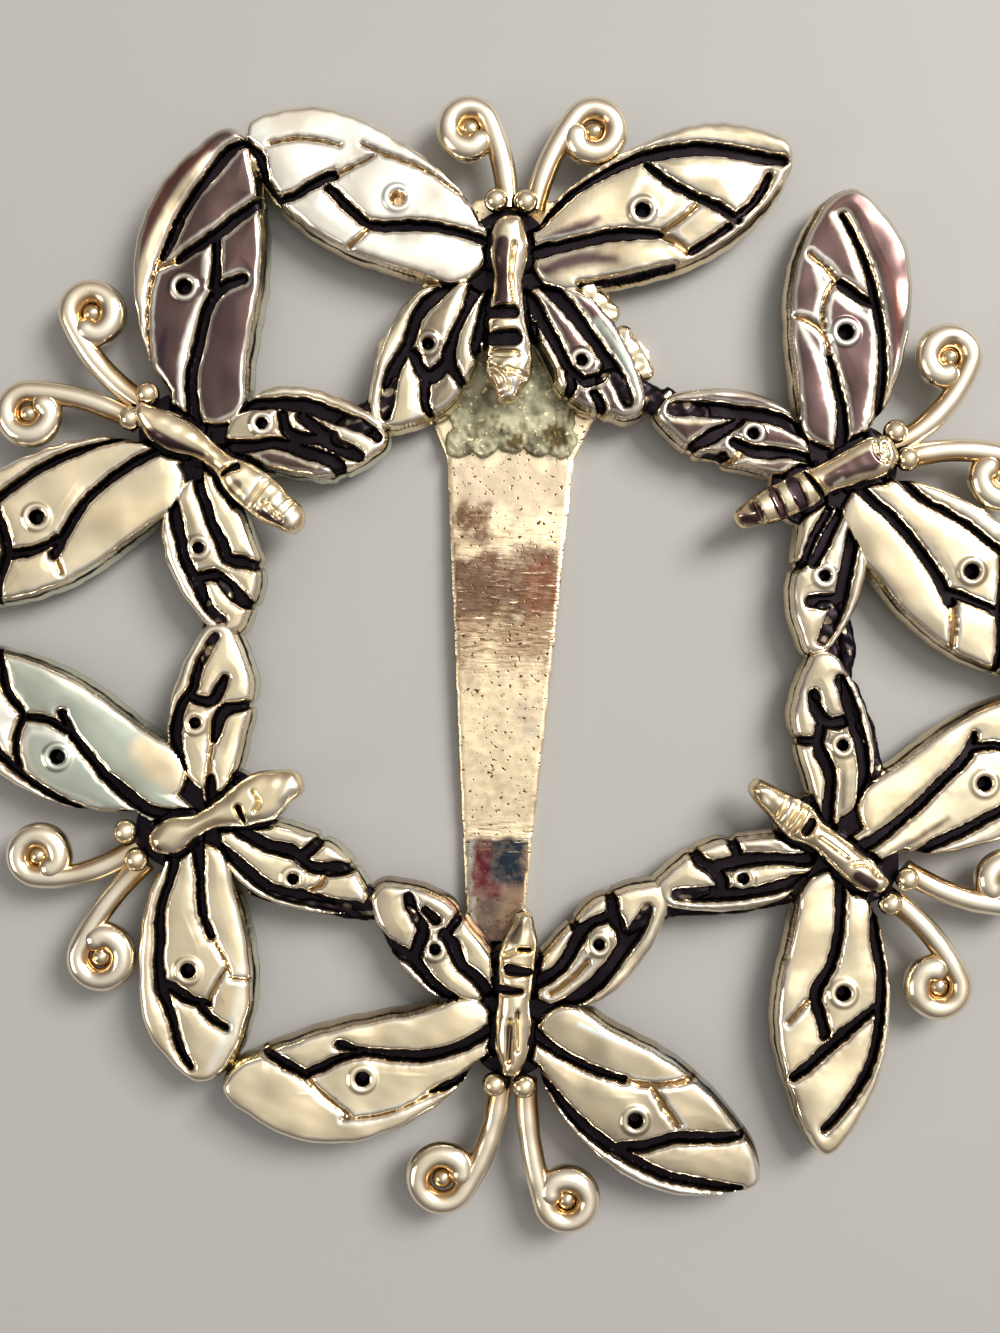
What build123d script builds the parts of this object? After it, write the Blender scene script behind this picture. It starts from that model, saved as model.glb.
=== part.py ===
from build123d import *

import os
from collections import namedtuple
from math import cos, radians, sin, tan

# Butterfly wreath brooch, lying face up. Millimetres and degrees, +Z up.
# Six cast butterflies stand in a ring, heads outward, and share one casting. A flat tapered clip
# blade is bonded behind the top butterfly, crosses the ring and ends behind the bottom one.
# Origin: under the middle of the brooch's box, on the surface that it lies on.

# Wreath
RING_RADIUS = 19.7
WING_THICKNESS = 1.8
GROOVE_DEPTH = 0.55
GROOVE_WIDTH = 0.45
RING_CENTRE_X = -0.30
RING_CENTRE_Y = 1.20

# Forewings and hindwings, from root to tip, with the places of their roots from a body's centre
FOREWING_LENGTH = 14.6
FOREWING_WIDTH = 6.7
FOREWING_ROOT_X = 2.0
FOREWING_ROOT_Y = 2.55
HINDWING_LENGTH = 8.6
HINDWING_WIDTH = 4.3
HINDWING_ROOT_X = 1.45
HINDWING_ROOT_Y = -0.65
FOREWING_DOT = 0.95
HINDWING_DOT = 0.75
DOT_DEPTH = 0.9

# Bodies
BODY_LENGTH = 10.0
BODY_RADIUS = 1.05
BODY_HEAD_Y = 4.1
BODY_AXIS_HEIGHT = 1.5
RECESS_WIDTH = 3.5
FLOOR_WIDTH = 4.6
RECESS_LENGTH = 7.2
RECESS_Y = 1.0
HEAD_RADIUS = 1.05
HEAD_HEIGHT = 1.3
EYE_RADIUS = 0.68
EYE_SPACING = 1.66
EYE_Y = 4.95
EYE_HEIGHT = 1.45

# Antennae
ANTENNA_DIAMETER = 1.25
ANTENNA_SHAFT = 6.0
ANTENNA_CURL_RADIUS = 1.2
ANTENNA_HEIGHT = 0.8

# Links that join a hindwing's tip to the next butterfly's
LINK_WIDTH = 1.7
LINK_THICKNESS = 1.1
LINK_START = 0.72

# Clip blade: a sheet with a wide bonding pad, a flared neck and a long tapered strip
BLADE_THICKNESS = 0.8
BLADE_LEAN = -1.9
PAD_SHIFT = 0.5
PAD_TOP_HALF_WIDTH = 2.4
PAD_TOP_Y = 5.6
PAD_HALF_WIDTH = 5.3
PAD_SHOULDER_Y = 2.2
PAD_ARM_HALF_WIDTH = 7.75
PAD_ARM_CORNER = 0.6
PAD_ARM_TOP_Y = -2.2
PAD_ARM_BOTTOM_Y = -4.6
NECK_TOP_HALF_WIDTH = 4.6
NECK_TOP_Y = -6.9
STRIP_TOP_HALF_WIDTH = 3.6
STRIP_TOP_Y = -9.2
STRIP_END_HALF_WIDTH = 1.25
STRIP_END_Y = -40.2
BLADE_BOW = 0.35
CREASE_Y = -30.3
TIP_RISE = 2.2

# Hardened bonding between the pad and the casting
BOND_THICKNESS = 0.36
BOND_HALF_WIDTH = 4.2
BOND_TOP_Y = 3.6
BOND_LUMP_RADIUS = 1.05
BOND_LUMP_RISE = 0.42
BOND_LUMP_SPACING = 1.45
SEAT_GAP = 0.05

BLADE_TOP = BLADE_THICKNESS
BOND_BOTTOM = BLADE_TOP + SEAT_GAP
CASTING_BACK = BOND_BOTTOM + BOND_THICKNESS + SEAT_GAP
GROOVE_FLOOR = WING_THICKNESS - GROOVE_DEPTH

# Wing patterns, as shares of a wing's length along it and of its width across it, the leading
# side positive. Each groove is a line of such points, and a dot is one drilled point.
Pattern = namedtuple("Pattern", "outline grooves dot")
FOREWING = Pattern(
    outline=[
        (0.02, 0.20), (0.11, 0.31), (0.27, 0.41), (0.41, 0.455), (0.55, 0.46), (0.69, 0.41),
        (0.82, 0.31), (0.92, 0.18), (1.0, 0.0), (0.94, -0.17), (0.83, -0.30), (0.70, -0.42),
        (0.555, -0.51), (0.43, -0.53), (0.28, -0.49), (0.12, -0.43), (-0.02, -0.35), (-0.08, -0.10),
    ],
    grooves=[
        [(-0.02, 0.08), (0.115, 0.22), (0.26, 0.31), (0.39, 0.35), (0.55, 0.33), (0.66, 0.25),
         (0.78, 0.11), (0.91, -0.05)],
        [(-0.08, -0.14), (0.12, -0.09), (0.23, -0.10), (0.34, -0.20), (0.43, -0.27), (0.47, -0.40),
         (0.48, -0.60)],
        [(0.43, -0.26), (0.54, -0.06), (0.50, 0.12), (0.45, 0.33)],
        [(0.54, -0.06), (0.61, -0.13), (0.70, -0.31), (0.75, -0.46)],
    ],
    dot=(0.377, 0.02),
)
HINDWING = Pattern(
    outline=[
        (-0.05, 0.20), (0.08, 0.40), (0.20, 0.51), (0.41, 0.53), (0.64, 0.43), (0.87, 0.24),
        (0.98, 0.08), (0.99, -0.14), (0.886, -0.28), (0.744, -0.40), (0.59, -0.46), (0.41, -0.42),
        (0.20, -0.33), (0.02, -0.22), (-0.08, -0.02),
    ],
    grooves=[
        [(-0.06, 0.18), (0.15, 0.31), (0.33, 0.32), (0.57, 0.21), (0.83, 0.0), (0.91, -0.08)],
        [(-0.06, 0.02), (0.25, -0.06), (0.45, -0.19), (0.62, -0.26), (0.72, -0.50)],
        [(0.46, -0.19), (0.57, -0.06), (0.585, 0.20)],
    ],
    dot=(0.441, 0.07),
)

# One row a wing. angle is the tip's direction above the side of the body, length and width are
# shares of the wing sizes, bend bows the wing forward, blunt widens its tip, and shift moves the
# cells outward, the last three as shares.
Wing = namedtuple("Wing", "angle length width bend blunt shift")
# One row an antenna. base is its root's distance from the body's line and lean its first
# direction from the head's, both outward; shaft and curl are shares of the named sizes; bend and
# turn are the angles of the shaft and of the curl.
Antenna = namedtuple("Antenna", "base lean shaft bend curl turn")
# One row a butterfly. place is its angle around the ring, reach its share of the ring's radius,
# heading the way its head points, shift moves its body sideways, and tail is its tail's share of
# the usual length. Pairs are left, then right.
Butterfly = namedtuple(
    "Butterfly", "place reach heading shift tail forewings hindwings antennae"
)
BUTTERFLIES = [
    Butterfly(
        91.5, 1.00, 87.5, 0.0, 1.1,
        (Wing(25.4, 0.98, 1.05, 0.0, 0.5, -0.03), Wing(24.5, 1.02, 1.08, 0.0, 0.5, 0.0)),
        (Wing(-50.6, 1.04, 1.34, 0.0, 0.0, 0.0), Wing(-41.3, 1.0, 1.18, -0.02, 0.0, 0.04)),
        (Antenna(0.2, 3, 0.83, 24, 0.97, 235), Antenna(1.3, 10, 0.93, 25, 1.04, 262)),
    ),
    Butterfly(
        28.0, 0.974, 24.0, 0.0, 1.0,
        (Wing(25.2, 0.93, 1.02, 0.02, 0.7, 0.02), Wing(26.0, 1.04, 1.15, 0.0, 0.4, 0.02)),
        (Wing(-42.9, 0.99, 1.08, 0.03, 0.0, -0.06), Wing(-24.4, 0.94, 1.0, 0.05, 0.0, 0.0)),
        (Antenna(0.2, 2, 1.04, 43, 1.0, 240), Antenna(0.7, 6, 1.0, 34, 1.0, 245)),
    ),
    Butterfly(
        -31.5, 1.04, -34.5, 0.4, 0.75,
        (Wing(27.0, 1.02, 1.08, 0.02, 0.3, 0.02), Wing(30.3, 1.02, 0.97, 0.0, 0.0, 0.0)),
        (Wing(-37.3, 1.02, 1.05, 0.0, 0.0, -0.03), Wing(-37.3, 1.02, 1.0, 0.0, 0.0, 0.0)),
        (Antenna(0.8, 1, 1.0, 30, 1.02, 245), Antenna(0.95, 0, 1.0, 30, 1.02, 240)),
    ),
    Butterfly(
        -90.3, 1.00, -93.5, 0.0, 0.6,
        (Wing(29.9, 0.97, 1.03, 0.045, 0.2, 0.055), Wing(14.6, 0.99, 0.98, 0.09, 0.4, 0.09)),
        (Wing(-40.0, 1.02, 1.12, 0.02, 0.0, 0.03), Wing(-33.8, 0.96, 1.10, 0.0, 0.0, 0.02)),
        (Antenna(0.95, 3, 1.19, 19, 1.02, 275), Antenna(0.5, 0, 1.12, 31, 1.13, 268)),
    ),
    Butterfly(
        208.7, 0.981, 201.5, -0.2, 1.0,
        (Wing(16.5, 0.86, 0.95, 0.01, 0.7, 0.10), Wing(36.0, 1.0, 1.03, 0.05, 0.3, 0.03)),
        (Wing(-37.3, 0.99, 1.08, 0.0, 0.0, 0.04), Wing(-21.9, 1.04, 1.12, 0.01, 0.0, -0.08)),
        (Antenna(1.35, 21, 0.98, 21, 1.06, 265), Antenna(-0.3, -17, 1.0, 44, 0.97, 265)),
    ),
    Butterfly(
        148.5, 1.01, 145.5, 0.0, 1.15,
        (Wing(26.0, 1.02, 1.12, 0.03, 0.3, 0.10), Wing(27.0, 1.06, 1.10, 0.07, 0.2, 0.03)),
        (Wing(-41.3, 0.98, 1.25, 0.01, 0.0, -0.04), Wing(-51.0, 0.97, 1.25, 0.01, 0.0, 0.0)),
        (Antenna(0.8, 5, 1.03, 28, 1.02, 255), Antenna(0.3, -3, 1.05, 34, 1.02, 265)),
    ),
]
SIDES = (-1, 1)
ON_BASE = (Align.CENTER, Align.CENTER, Align.MIN)

# A body's outline from head to tail: how far along it, and its radius, as shares, and the share
# along at which the tail starts
Section = namedtuple("Section", "along radius")
BODY = [
    Section(0.0, 0.0), Section(0.0, 0.30), Section(0.02, 0.72), Section(0.08, 1.0),
    Section(0.22, 0.95), Section(0.38, 0.70), Section(0.56, 0.88), Section(0.60, 0.66),
    Section(0.64, 0.92), Section(0.71, 0.92), Section(0.74, 0.66), Section(0.78, 0.90),
    Section(0.88, 0.72), Section(0.97, 0.42), Section(1.0, 0.15), Section(1.0, 0.0),
]
TAIL_START = 0.74


def butterfly_plane(bug, height):
    """A butterfly's own plane: +Y towards its head, +X to its right."""
    reach = RING_RADIUS * bug.reach
    centre = (
        RING_CENTRE_X + reach * cos(radians(bug.place)),
        RING_CENTRE_Y + reach * sin(radians(bug.place)),
        height,
    )
    across = (sin(radians(bug.heading)), -cos(radians(bug.heading)), 0)
    return Plane(origin=centre, x_dir=across, z_dir=(0, 0, 1))


def wing_point(wing, side, share, sizes):
    """A pattern's point in its butterfly's plane. sizes are length, width, root x and root y."""
    length, width, root_x, root_y = sizes
    along, across = share
    full = length * wing.length
    lift = width * wing.width * across * (1 + wing.blunt * max(0, along - 0.5))
    lift += full * wing.bend * 4 * along * (1 - along)
    turn = radians(wing.angle)
    x = root_x + full * along * cos(turn) - lift * sin(turn)
    y = root_y + full * along * sin(turn) + lift * cos(turn)
    return (side * x, y)


def inner_point(wing, side, share, sizes):
    """A groove's or dot's point, moved along the wing by the wing's shift."""
    along, across = share
    moved = along + wing.shift * 4 * max(0, along) * (1 - along)
    return wing_point(wing, side, (moved, across), sizes)


def wings_of(bug):
    """Each wing of a butterfly, with its side, pattern, sizes and dot diameter."""
    fore_sizes = (FOREWING_LENGTH, FOREWING_WIDTH, FOREWING_ROOT_X, FOREWING_ROOT_Y)
    hind_sizes = (HINDWING_LENGTH, HINDWING_WIDTH, HINDWING_ROOT_X, HINDWING_ROOT_Y)
    for side, wing in zip(SIDES, bug.forewings):
        yield wing, side, FOREWING, fore_sizes, FOREWING_DOT
    for side, wing in zip(SIDES, bug.hindwings):
        yield wing, side, HINDWING, hind_sizes, HINDWING_DOT


def body_point(bug, section):
    """A section's edge in its butterfly's plane, the sections of the tail moved by its length."""
    along = min(section.along, TAIL_START)
    along += (section.along - along) * bug.tail
    return (bug.shift + BODY_RADIUS * section.radius, BODY_HEAD_Y - BODY_LENGTH * along)


def link_end(bug, side):
    """Where a link starts on a hindwing's middle line, in the brooch's frame."""
    wing = bug.hindwings[SIDES.index(side)]
    sizes = (HINDWING_LENGTH, HINDWING_WIDTH, HINDWING_ROOT_X, HINDWING_ROOT_Y)
    x, y = wing_point(wing, side, (LINK_START, 0.0), sizes)
    return butterfly_plane(bug, CASTING_BACK).from_local_coords(Vector(x, y, 0))


def cast_butterfly(bug):
    """One butterfly in its own plane, its flat back at height 0."""
    with BuildPart() as cast:
        # Four flat wings, their outlines smooth
        with BuildSketch():
            for wing, side, pattern, sizes, dot in wings_of(bug):
                with BuildLine():
                    Spline([wing_point(wing, side, p, sizes) for p in pattern.outline], periodic=True)
                make_face()
        extrude(amount=WING_THICKNESS)
        # Recessed floor around the body, which joins the wings' roots
        with BuildSketch():
            with Locations((bug.shift, RECESS_Y)):
                SlotOverall(RECESS_LENGTH, FLOOR_WIDTH, rotation=90)
        extrude(amount=GROOVE_FLOOR)
        with BuildSketch(Plane.XY.offset(GROOVE_FLOOR)):
            with Locations((bug.shift, RECESS_Y)):
                SlotOverall(RECESS_LENGTH, RECESS_WIDTH, rotation=90)
        extrude(amount=WING_THICKNESS, mode=Mode.SUBTRACT)
        # Grooves between the raised cells, and a drilled dot in each wing
        with BuildSketch(Plane.XY.offset(GROOVE_FLOOR)):
            for wing, side, pattern, sizes, dot in wings_of(bug):
                for groove in pattern.grooves:
                    with BuildLine():
                        Polyline([inner_point(wing, side, p, sizes) for p in groove])
                    trace(line_width=GROOVE_WIDTH)
        extrude(amount=WING_THICKNESS, mode=Mode.SUBTRACT)
        with BuildSketch(Plane.XY.offset(WING_THICKNESS - DOT_DEPTH)):
            for wing, side, pattern, sizes, dot in wings_of(bug):
                with Locations(inner_point(wing, side, pattern.dot, sizes)):
                    Circle(dot / 2)
        extrude(amount=WING_THICKNESS, mode=Mode.SUBTRACT)
        # Ringed body, turned about its length, with a head and two eyes
        with BuildSketch(Plane.XY.offset(BODY_AXIS_HEIGHT)):
            with BuildLine():
                Polyline([body_point(bug, section) for section in BODY], close=True)
            make_face()
        revolve(axis=Axis((bug.shift, 0, BODY_AXIS_HEIGHT), (0, 1, 0)))
        with BuildSketch():
            with Locations((bug.shift, EYE_Y - HEAD_RADIUS / 2)):
                Circle(HEAD_RADIUS)
        extrude(amount=HEAD_HEIGHT)
        eyes = GridLocations(EYE_SPACING, 0, 2, 1)
        with BuildSketch():
            with Locations((bug.shift, EYE_Y)), eyes:
                Circle(EYE_RADIUS)
        extrude(amount=EYE_HEIGHT)
        with Locations((bug.shift, EYE_Y, EYE_HEIGHT)), eyes:
            Sphere(EYE_RADIUS, arc_size1=0, align=ON_BASE)
        # Antennae: a round wire that leans out, then curls back in to a rounded end
        for side, antenna in zip(SIDES, bug.antennae):
            with BuildLine():
                stem = JernArc(
                    (side * antenna.base, EYE_Y),
                    (side * sin(radians(antenna.lean)), cos(radians(antenna.lean))),
                    ANTENNA_SHAFT * antenna.shaft / radians(antenna.bend),
                    -side * antenna.bend,
                )
                curl = JernArc(
                    stem @ 1, stem % 1, ANTENNA_CURL_RADIUS * antenna.curl, -side * antenna.turn
                )
            lift = Vector(0, 0, ANTENNA_HEIGHT)
            for run, turn in ((stem, antenna.bend), (curl, antenna.turn)):
                with BuildSketch(Plane(origin=lift + run @ 0, z_dir=run % 0)):
                    Circle(ANTENNA_DIAMETER / 2)
                revolve(axis=Axis(lift + run.arc_center, (0, 0, -side)), revolution_arc=turn)
            with Locations(Plane(origin=lift + curl @ 1, z_dir=curl % 1)):
                Sphere(ANTENNA_DIAMETER / 2, arc_size1=0, align=ON_BASE)
    return cast.part


butterflies = [cast_butterfly(bug) for bug in BUTTERFLIES]

# The casting: six butterflies, and a link between each two neighbouring hindwings
placed = [
    cast.moved(butterfly_plane(bug, CASTING_BACK).location)
    for bug, cast in zip(BUTTERFLIES, butterflies)
]
with BuildPart() as wreath:
    add(placed)
    with BuildSketch(Plane.XY.offset(CASTING_BACK)):
        for bug, neighbour in zip(BUTTERFLIES, BUTTERFLIES[-1:] + BUTTERFLIES[:-1]):
            with BuildLine():
                Line(link_end(bug, -1), link_end(neighbour, 1))
            trace(line_width=LINK_WIDTH)
    extrude(amount=LINK_THICKNESS)

# The clip blade: a sheet that bows up along the strip and rises at its tip, cut to its plan
pad_middle = butterfly_plane(BUTTERFLIES[0], 0).from_local_coords(Vector(PAD_SHIFT, 0, 0))
BLADE_PLANE = Plane(
    origin=pad_middle,
    x_dir=(cos(radians(BLADE_LEAN)), sin(radians(BLADE_LEAN)), 0),
    z_dir=(0, 0, 1),
)
BLADE_SIDE_PLANE = Plane(origin=pad_middle, x_dir=BLADE_PLANE.y_dir, z_dir=BLADE_PLANE.x_dir)
# Distance up the blade from the pad's middle, and half its width there
Station = namedtuple("Station", "along half_width")
BLADE_STATIONS = [
    Station(PAD_TOP_Y, PAD_TOP_HALF_WIDTH),
    Station(PAD_SHOULDER_Y, PAD_HALF_WIDTH),
    Station(PAD_ARM_TOP_Y, PAD_HALF_WIDTH),
    Station(PAD_ARM_TOP_Y, PAD_ARM_HALF_WIDTH - PAD_ARM_CORNER),
    Station(PAD_ARM_TOP_Y - PAD_ARM_CORNER, PAD_ARM_HALF_WIDTH),
    Station(PAD_ARM_BOTTOM_Y + PAD_ARM_CORNER, PAD_ARM_HALF_WIDTH),
    Station(PAD_ARM_BOTTOM_Y, PAD_ARM_HALF_WIDTH - PAD_ARM_CORNER),
    Station(NECK_TOP_Y, NECK_TOP_HALF_WIDTH),
    Station(STRIP_TOP_Y, STRIP_TOP_HALF_WIDTH),
    Station(STRIP_END_Y, STRIP_END_HALF_WIDTH),
]
BLADE_END_Y = STRIP_END_Y - STRIP_END_HALF_WIDTH
TIP_LIFT = (CREASE_Y - BLADE_END_Y) * tan(radians(TIP_RISE))
BOW_Y = (STRIP_TOP_Y + CREASE_Y) / 2
with BuildPart() as clip_blade:
    with BuildSketch(BLADE_SIDE_PLANE):
        with BuildLine():
            Polyline(
                (STRIP_TOP_Y, 0),
                (PAD_TOP_Y, 0),
                (PAD_TOP_Y, BLADE_THICKNESS),
                (STRIP_TOP_Y, BLADE_THICKNESS),
            )
            ThreePointArc(
                (STRIP_TOP_Y, BLADE_THICKNESS),
                (BOW_Y, BLADE_THICKNESS + BLADE_BOW),
                (CREASE_Y, BLADE_THICKNESS),
            )
            Polyline(
                (CREASE_Y, BLADE_THICKNESS),
                (BLADE_END_Y, BLADE_THICKNESS + TIP_LIFT),
                (BLADE_END_Y, TIP_LIFT),
                (CREASE_Y, 0),
            )
            ThreePointArc((CREASE_Y, 0), (BOW_Y, BLADE_BOW), (STRIP_TOP_Y, 0))
        make_face()
    extrude(amount=PAD_ARM_HALF_WIDTH, both=True)
    with BuildSketch(BLADE_PLANE):
        with BuildLine():
            Polyline([(s.half_width, s.along) for s in BLADE_STATIONS])
            Polyline([(-s.half_width, s.along) for s in BLADE_STATIONS])
            Line((PAD_TOP_HALF_WIDTH, PAD_TOP_Y), (-PAD_TOP_HALF_WIDTH, PAD_TOP_Y))
            ThreePointArc(
                (STRIP_END_HALF_WIDTH, STRIP_END_Y),
                (0, BLADE_END_Y),
                (-STRIP_END_HALF_WIDTH, STRIP_END_Y),
            )
        make_face()
    extrude(amount=BLADE_THICKNESS + BLADE_BOW + TIP_LIFT, mode=Mode.INTERSECT)

# The bonding: a thin layer on the pad, and a row of lumps squeezed out below the casting
lump_count = int(2 * (BOND_HALF_WIDTH - BOND_LUMP_RADIUS) / BOND_LUMP_SPACING) + 1
BOND_LUMP_Y = STRIP_TOP_Y + BOND_LUMP_RADIUS
with BuildPart() as bond_layer:
    with BuildSketch(BLADE_PLANE.offset(BOND_BOTTOM)):
        with Locations((0, (BOND_TOP_Y + BOND_LUMP_Y) / 2)):
            RectangleRounded(2 * BOND_HALF_WIDTH - BOND_LUMP_RADIUS, BOND_TOP_Y - BOND_LUMP_Y, BOND_LUMP_RADIUS)
        with Locations((0, BOND_LUMP_Y)):
            with GridLocations(BOND_LUMP_SPACING, 0, lump_count, 1):
                Circle(BOND_LUMP_RADIUS)
    extrude(amount=BOND_THICKNESS)
    lump_middle = BOND_BOTTOM + BOND_THICKNESS + BOND_LUMP_RISE - BOND_LUMP_RADIUS
    with Locations(BLADE_PLANE.offset(lump_middle)):
        with Locations((0, BOND_LUMP_Y)):
            with GridLocations(BOND_LUMP_SPACING, 0, lump_count, 1):
                Sphere(BOND_LUMP_RADIUS)
    split(bisect_by=Plane.XY.offset(BOND_BOTTOM), keep=Keep.TOP)

os.makedirs("parts", exist_ok=True)
pieces = {"butterfly_wreath": wreath, "clip_blade": clip_blade, "bond_layer": bond_layer}
for name, piece in pieces.items():
    piece.part.label = name
    export_step(piece.part, f"parts/{name}.step")
    print(name, len(piece.part.solids()), round(piece.part.volume, 1), piece.part.bounding_box())
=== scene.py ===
import math
from collections import namedtuple

import bpy
import numpy as np
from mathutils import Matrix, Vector


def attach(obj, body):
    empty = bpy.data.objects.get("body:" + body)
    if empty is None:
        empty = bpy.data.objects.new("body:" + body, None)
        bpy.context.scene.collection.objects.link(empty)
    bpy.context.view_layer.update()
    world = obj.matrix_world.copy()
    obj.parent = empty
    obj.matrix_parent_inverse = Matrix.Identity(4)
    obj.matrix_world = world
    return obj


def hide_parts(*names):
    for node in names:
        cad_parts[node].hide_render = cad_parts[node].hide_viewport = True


# A wreath of six cast butterflies with a clip blade bonded behind the top one, lying face up.
# Shapes are worked out in millimetres in the brooch's frame and put in metres at the end.
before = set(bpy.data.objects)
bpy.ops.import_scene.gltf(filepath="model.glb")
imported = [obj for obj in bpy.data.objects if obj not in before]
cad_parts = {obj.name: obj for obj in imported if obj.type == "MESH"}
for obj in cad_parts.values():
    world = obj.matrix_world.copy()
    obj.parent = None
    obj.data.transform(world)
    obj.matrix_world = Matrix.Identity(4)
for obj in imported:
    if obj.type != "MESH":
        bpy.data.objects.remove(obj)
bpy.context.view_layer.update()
MM = 0.001
GRID = 0.075
# A distance beyond any that is asked for, and how many distances are worked out at a time
FAR = 9.0
BATCH = 2000000
# A butterfly's left and its right
SIDES = (-1, 1)

# The casting
RING_RADIUS = 19.7
RING_CENTRE = np.array((-0.30, 1.20))
CASTING_BACK = 1.26
BACK_STAGGER = 0.004
LINK_LIFT = 0.02
WING_THICKNESS = 1.8
WING_MARGIN = 0.9
RECESS_FLOOR = 0.95
RECESS_REACH = 2.3
# The wings' relief: how far each part of it goes down or up, and over what width
PLATE_DROP = 0.37
THINNEST_PLATE = 0.35
DEEP, SHALLOW, GROOVE_WALL = 0.62, 0.24, 0.34
RECESS_DROP, RECESS_WALL = 0.72, 0.26
EDGE_DROP, EDGE_WIDTH = 0.34, 0.42
CROWN_RISE, CROWN_WIDTH = 0.20, 1.2
DOT_SHARE, DOT_DROP, DOT_WALL = 0.84, 0.9, 0.14
DOT_RING_RISE, DOT_RING_PLACE, DOT_RING_WIDTH = 0.11, 0.22, 0.30
BODY_RADIUS = 1.05
BODY_AXIS_HEIGHT = 1.5
BODY_EDGE = 0.2
BODY_DOME_WIDTH = 0.95
SLOT_DEPTH, FOLD_DEPTH, SLOT_WALL = 0.75, 0.30, 0.22
TAIL_Y = -3.2
EYE_RADIUS = 0.68
EYE_SPACING = 1.66
EYE_Y = 4.95
EYE_HEIGHT = 1.45
ANTENNA_RADIUS = 0.66
ANTENNA_SHAFT = 6.0
ANTENNA_CURL_RADIUS = 1.2
ANTENNA_HEIGHT = 0.8
CURL_BEAD_RADIUS = 0.6
LINK_WIDTH = 1.7
LINK_START = 0.72

# The clip blade, in its own plane with its middle under the top butterfly's, and its bonding
BLADE_THICKNESS = 0.8
BLADE_HEADING = 88.1
BLADE_BOW = 0.35
TIP_RISE = 2.2
CREASE_Y = -30.3
STRIP_TOP_Y = -9.2
STRIP_END_Y = -40.2
STRIP_END_HALF_WIDTH = 1.25
PAD_SHIFT = 0.5
# Half widths by height up the blade
BLADE_STATIONS = [
    (2.4, 5.6), (5.3, 2.2), (5.3, -2.2), (7.15, -2.2), (7.75, -2.8), (7.75, -4.0), (7.15, -4.6),
    (4.6, -6.9), (3.6, STRIP_TOP_Y), (STRIP_END_HALF_WIDTH, STRIP_END_Y),
]
BOND_BOTTOM = 0.85
BOND_THICKNESS = 0.36
BOND_HALF_WIDTH = 4.2
BOND_TOP_Y = 3.6
BOND_LUMP_RADIUS = 1.05
BOND_LUMP_RISE = 0.42
BOND_LUMP_SPACING = 1.45
BOND_LUMP_Y = STRIP_TOP_Y + BOND_LUMP_RADIUS

# Tones painted on the plated metal, as linear colours. Besides the metal's cream and gold they stand
# for the light each part reflects: 'w' and 'b' are painted highlights, 'm', 'n' and 'r' painted dark
# reflections
TONES_AND_REFLECTIONS = {
    "w": (0.97, 0.91, 0.79),
    "c": (0.86, 0.73, 0.50),
    "g": (0.58, 0.49, 0.34),
    "s": (0.56, 0.60, 0.50),
    "o": (0.24, 0.19, 0.13),
    "m": (0.105, 0.066, 0.062),
    "n": (0.055, 0.035, 0.04),
    "r": (0.13, 0.05, 0.04),
    "a": (0.55, 0.34, 0.13),
    "b": (0.66, 0.84, 0.95),
}
GROOVE_BROWN = (0.26, 0.15, 0.06)
BACK_TONE = (0.62, 0.52, 0.36)
BACK_AGE = 0.28
BACK_CORNERS = 40
BOND_GREEN = (0.29, 0.28, 0.19)
BOND_BROWN = (0.085, 0.055, 0.012)
BOND_WALL = (0.2, 0.19, 0.13)
# Brown spots on the bonding: place in the blade's plane and radius
BOND_SPOTS = [(2.5, -7.8, 0.95), (0.3, -8.3, 0.7), (-0.8, -7.2, 0.45), (3.3, -6.6, 0.5)]

# Tarnish and painted reflections on the blade. The dimmer top and the dark tip past the crease are
# painted reflections of the bent sheet, and the brown band over the bow is part stain and part painted
# dark reflection. Each row has colour, softness, strength and the corners of the patch in its own plane
SHEET_GOLD = (0.83, 0.69, 0.46)
SHEET_STAINS_AND_REFLECTIONS = [
    ((0.52, 0.42, 0.29), 2.0, 0.8, (-3.6, -12.4), (3.6, -9.0)),
    ((0.15, 0.08, 0.045), 1.2, 0.75, (-2.9, -14.0), (-1.2, -12.0)),
    ((0.15, 0.085, 0.055), 2.4, 1.0, (-3.5, -19.0), (3.5, -14.4)),
    ((0.19, 0.08, 0.045), 1.2, 0.75, (1.3, -20.2), (3.5, -15.4)),
    ((0.36, 0.24, 0.14), 2.4, 0.55, (-3.5, -21.6), (3.5, -18.6)),
    ((0.50, 0.42, 0.33), 1.2, 0.5, (0.6, -25.0), (2.0, -23.0)),
    ((0.14, 0.09, 0.07), 0.8, 1.0, (-3.0, -42.0), (3.0, CREASE_Y - 0.5)),
    ((0.34, 0.31, 0.26), 0.5, 1.0, (-2.6, -42.0), (-1.3, CREASE_Y - 0.7)),
    ((0.115, 0.022, 0.03), 0.8, 0.85, (-1.1, -33.8), (0.1, CREASE_Y - 0.9)),
    ((0.022, 0.03, 0.042), 0.9, 0.9, (-0.1, -33.0), (1.3, CREASE_Y - 0.8)),
    ((0.26, 0.17, 0.11), 1.0, 0.7, (0.7, -37.0), (1.8, -33.8)),
]

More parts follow.
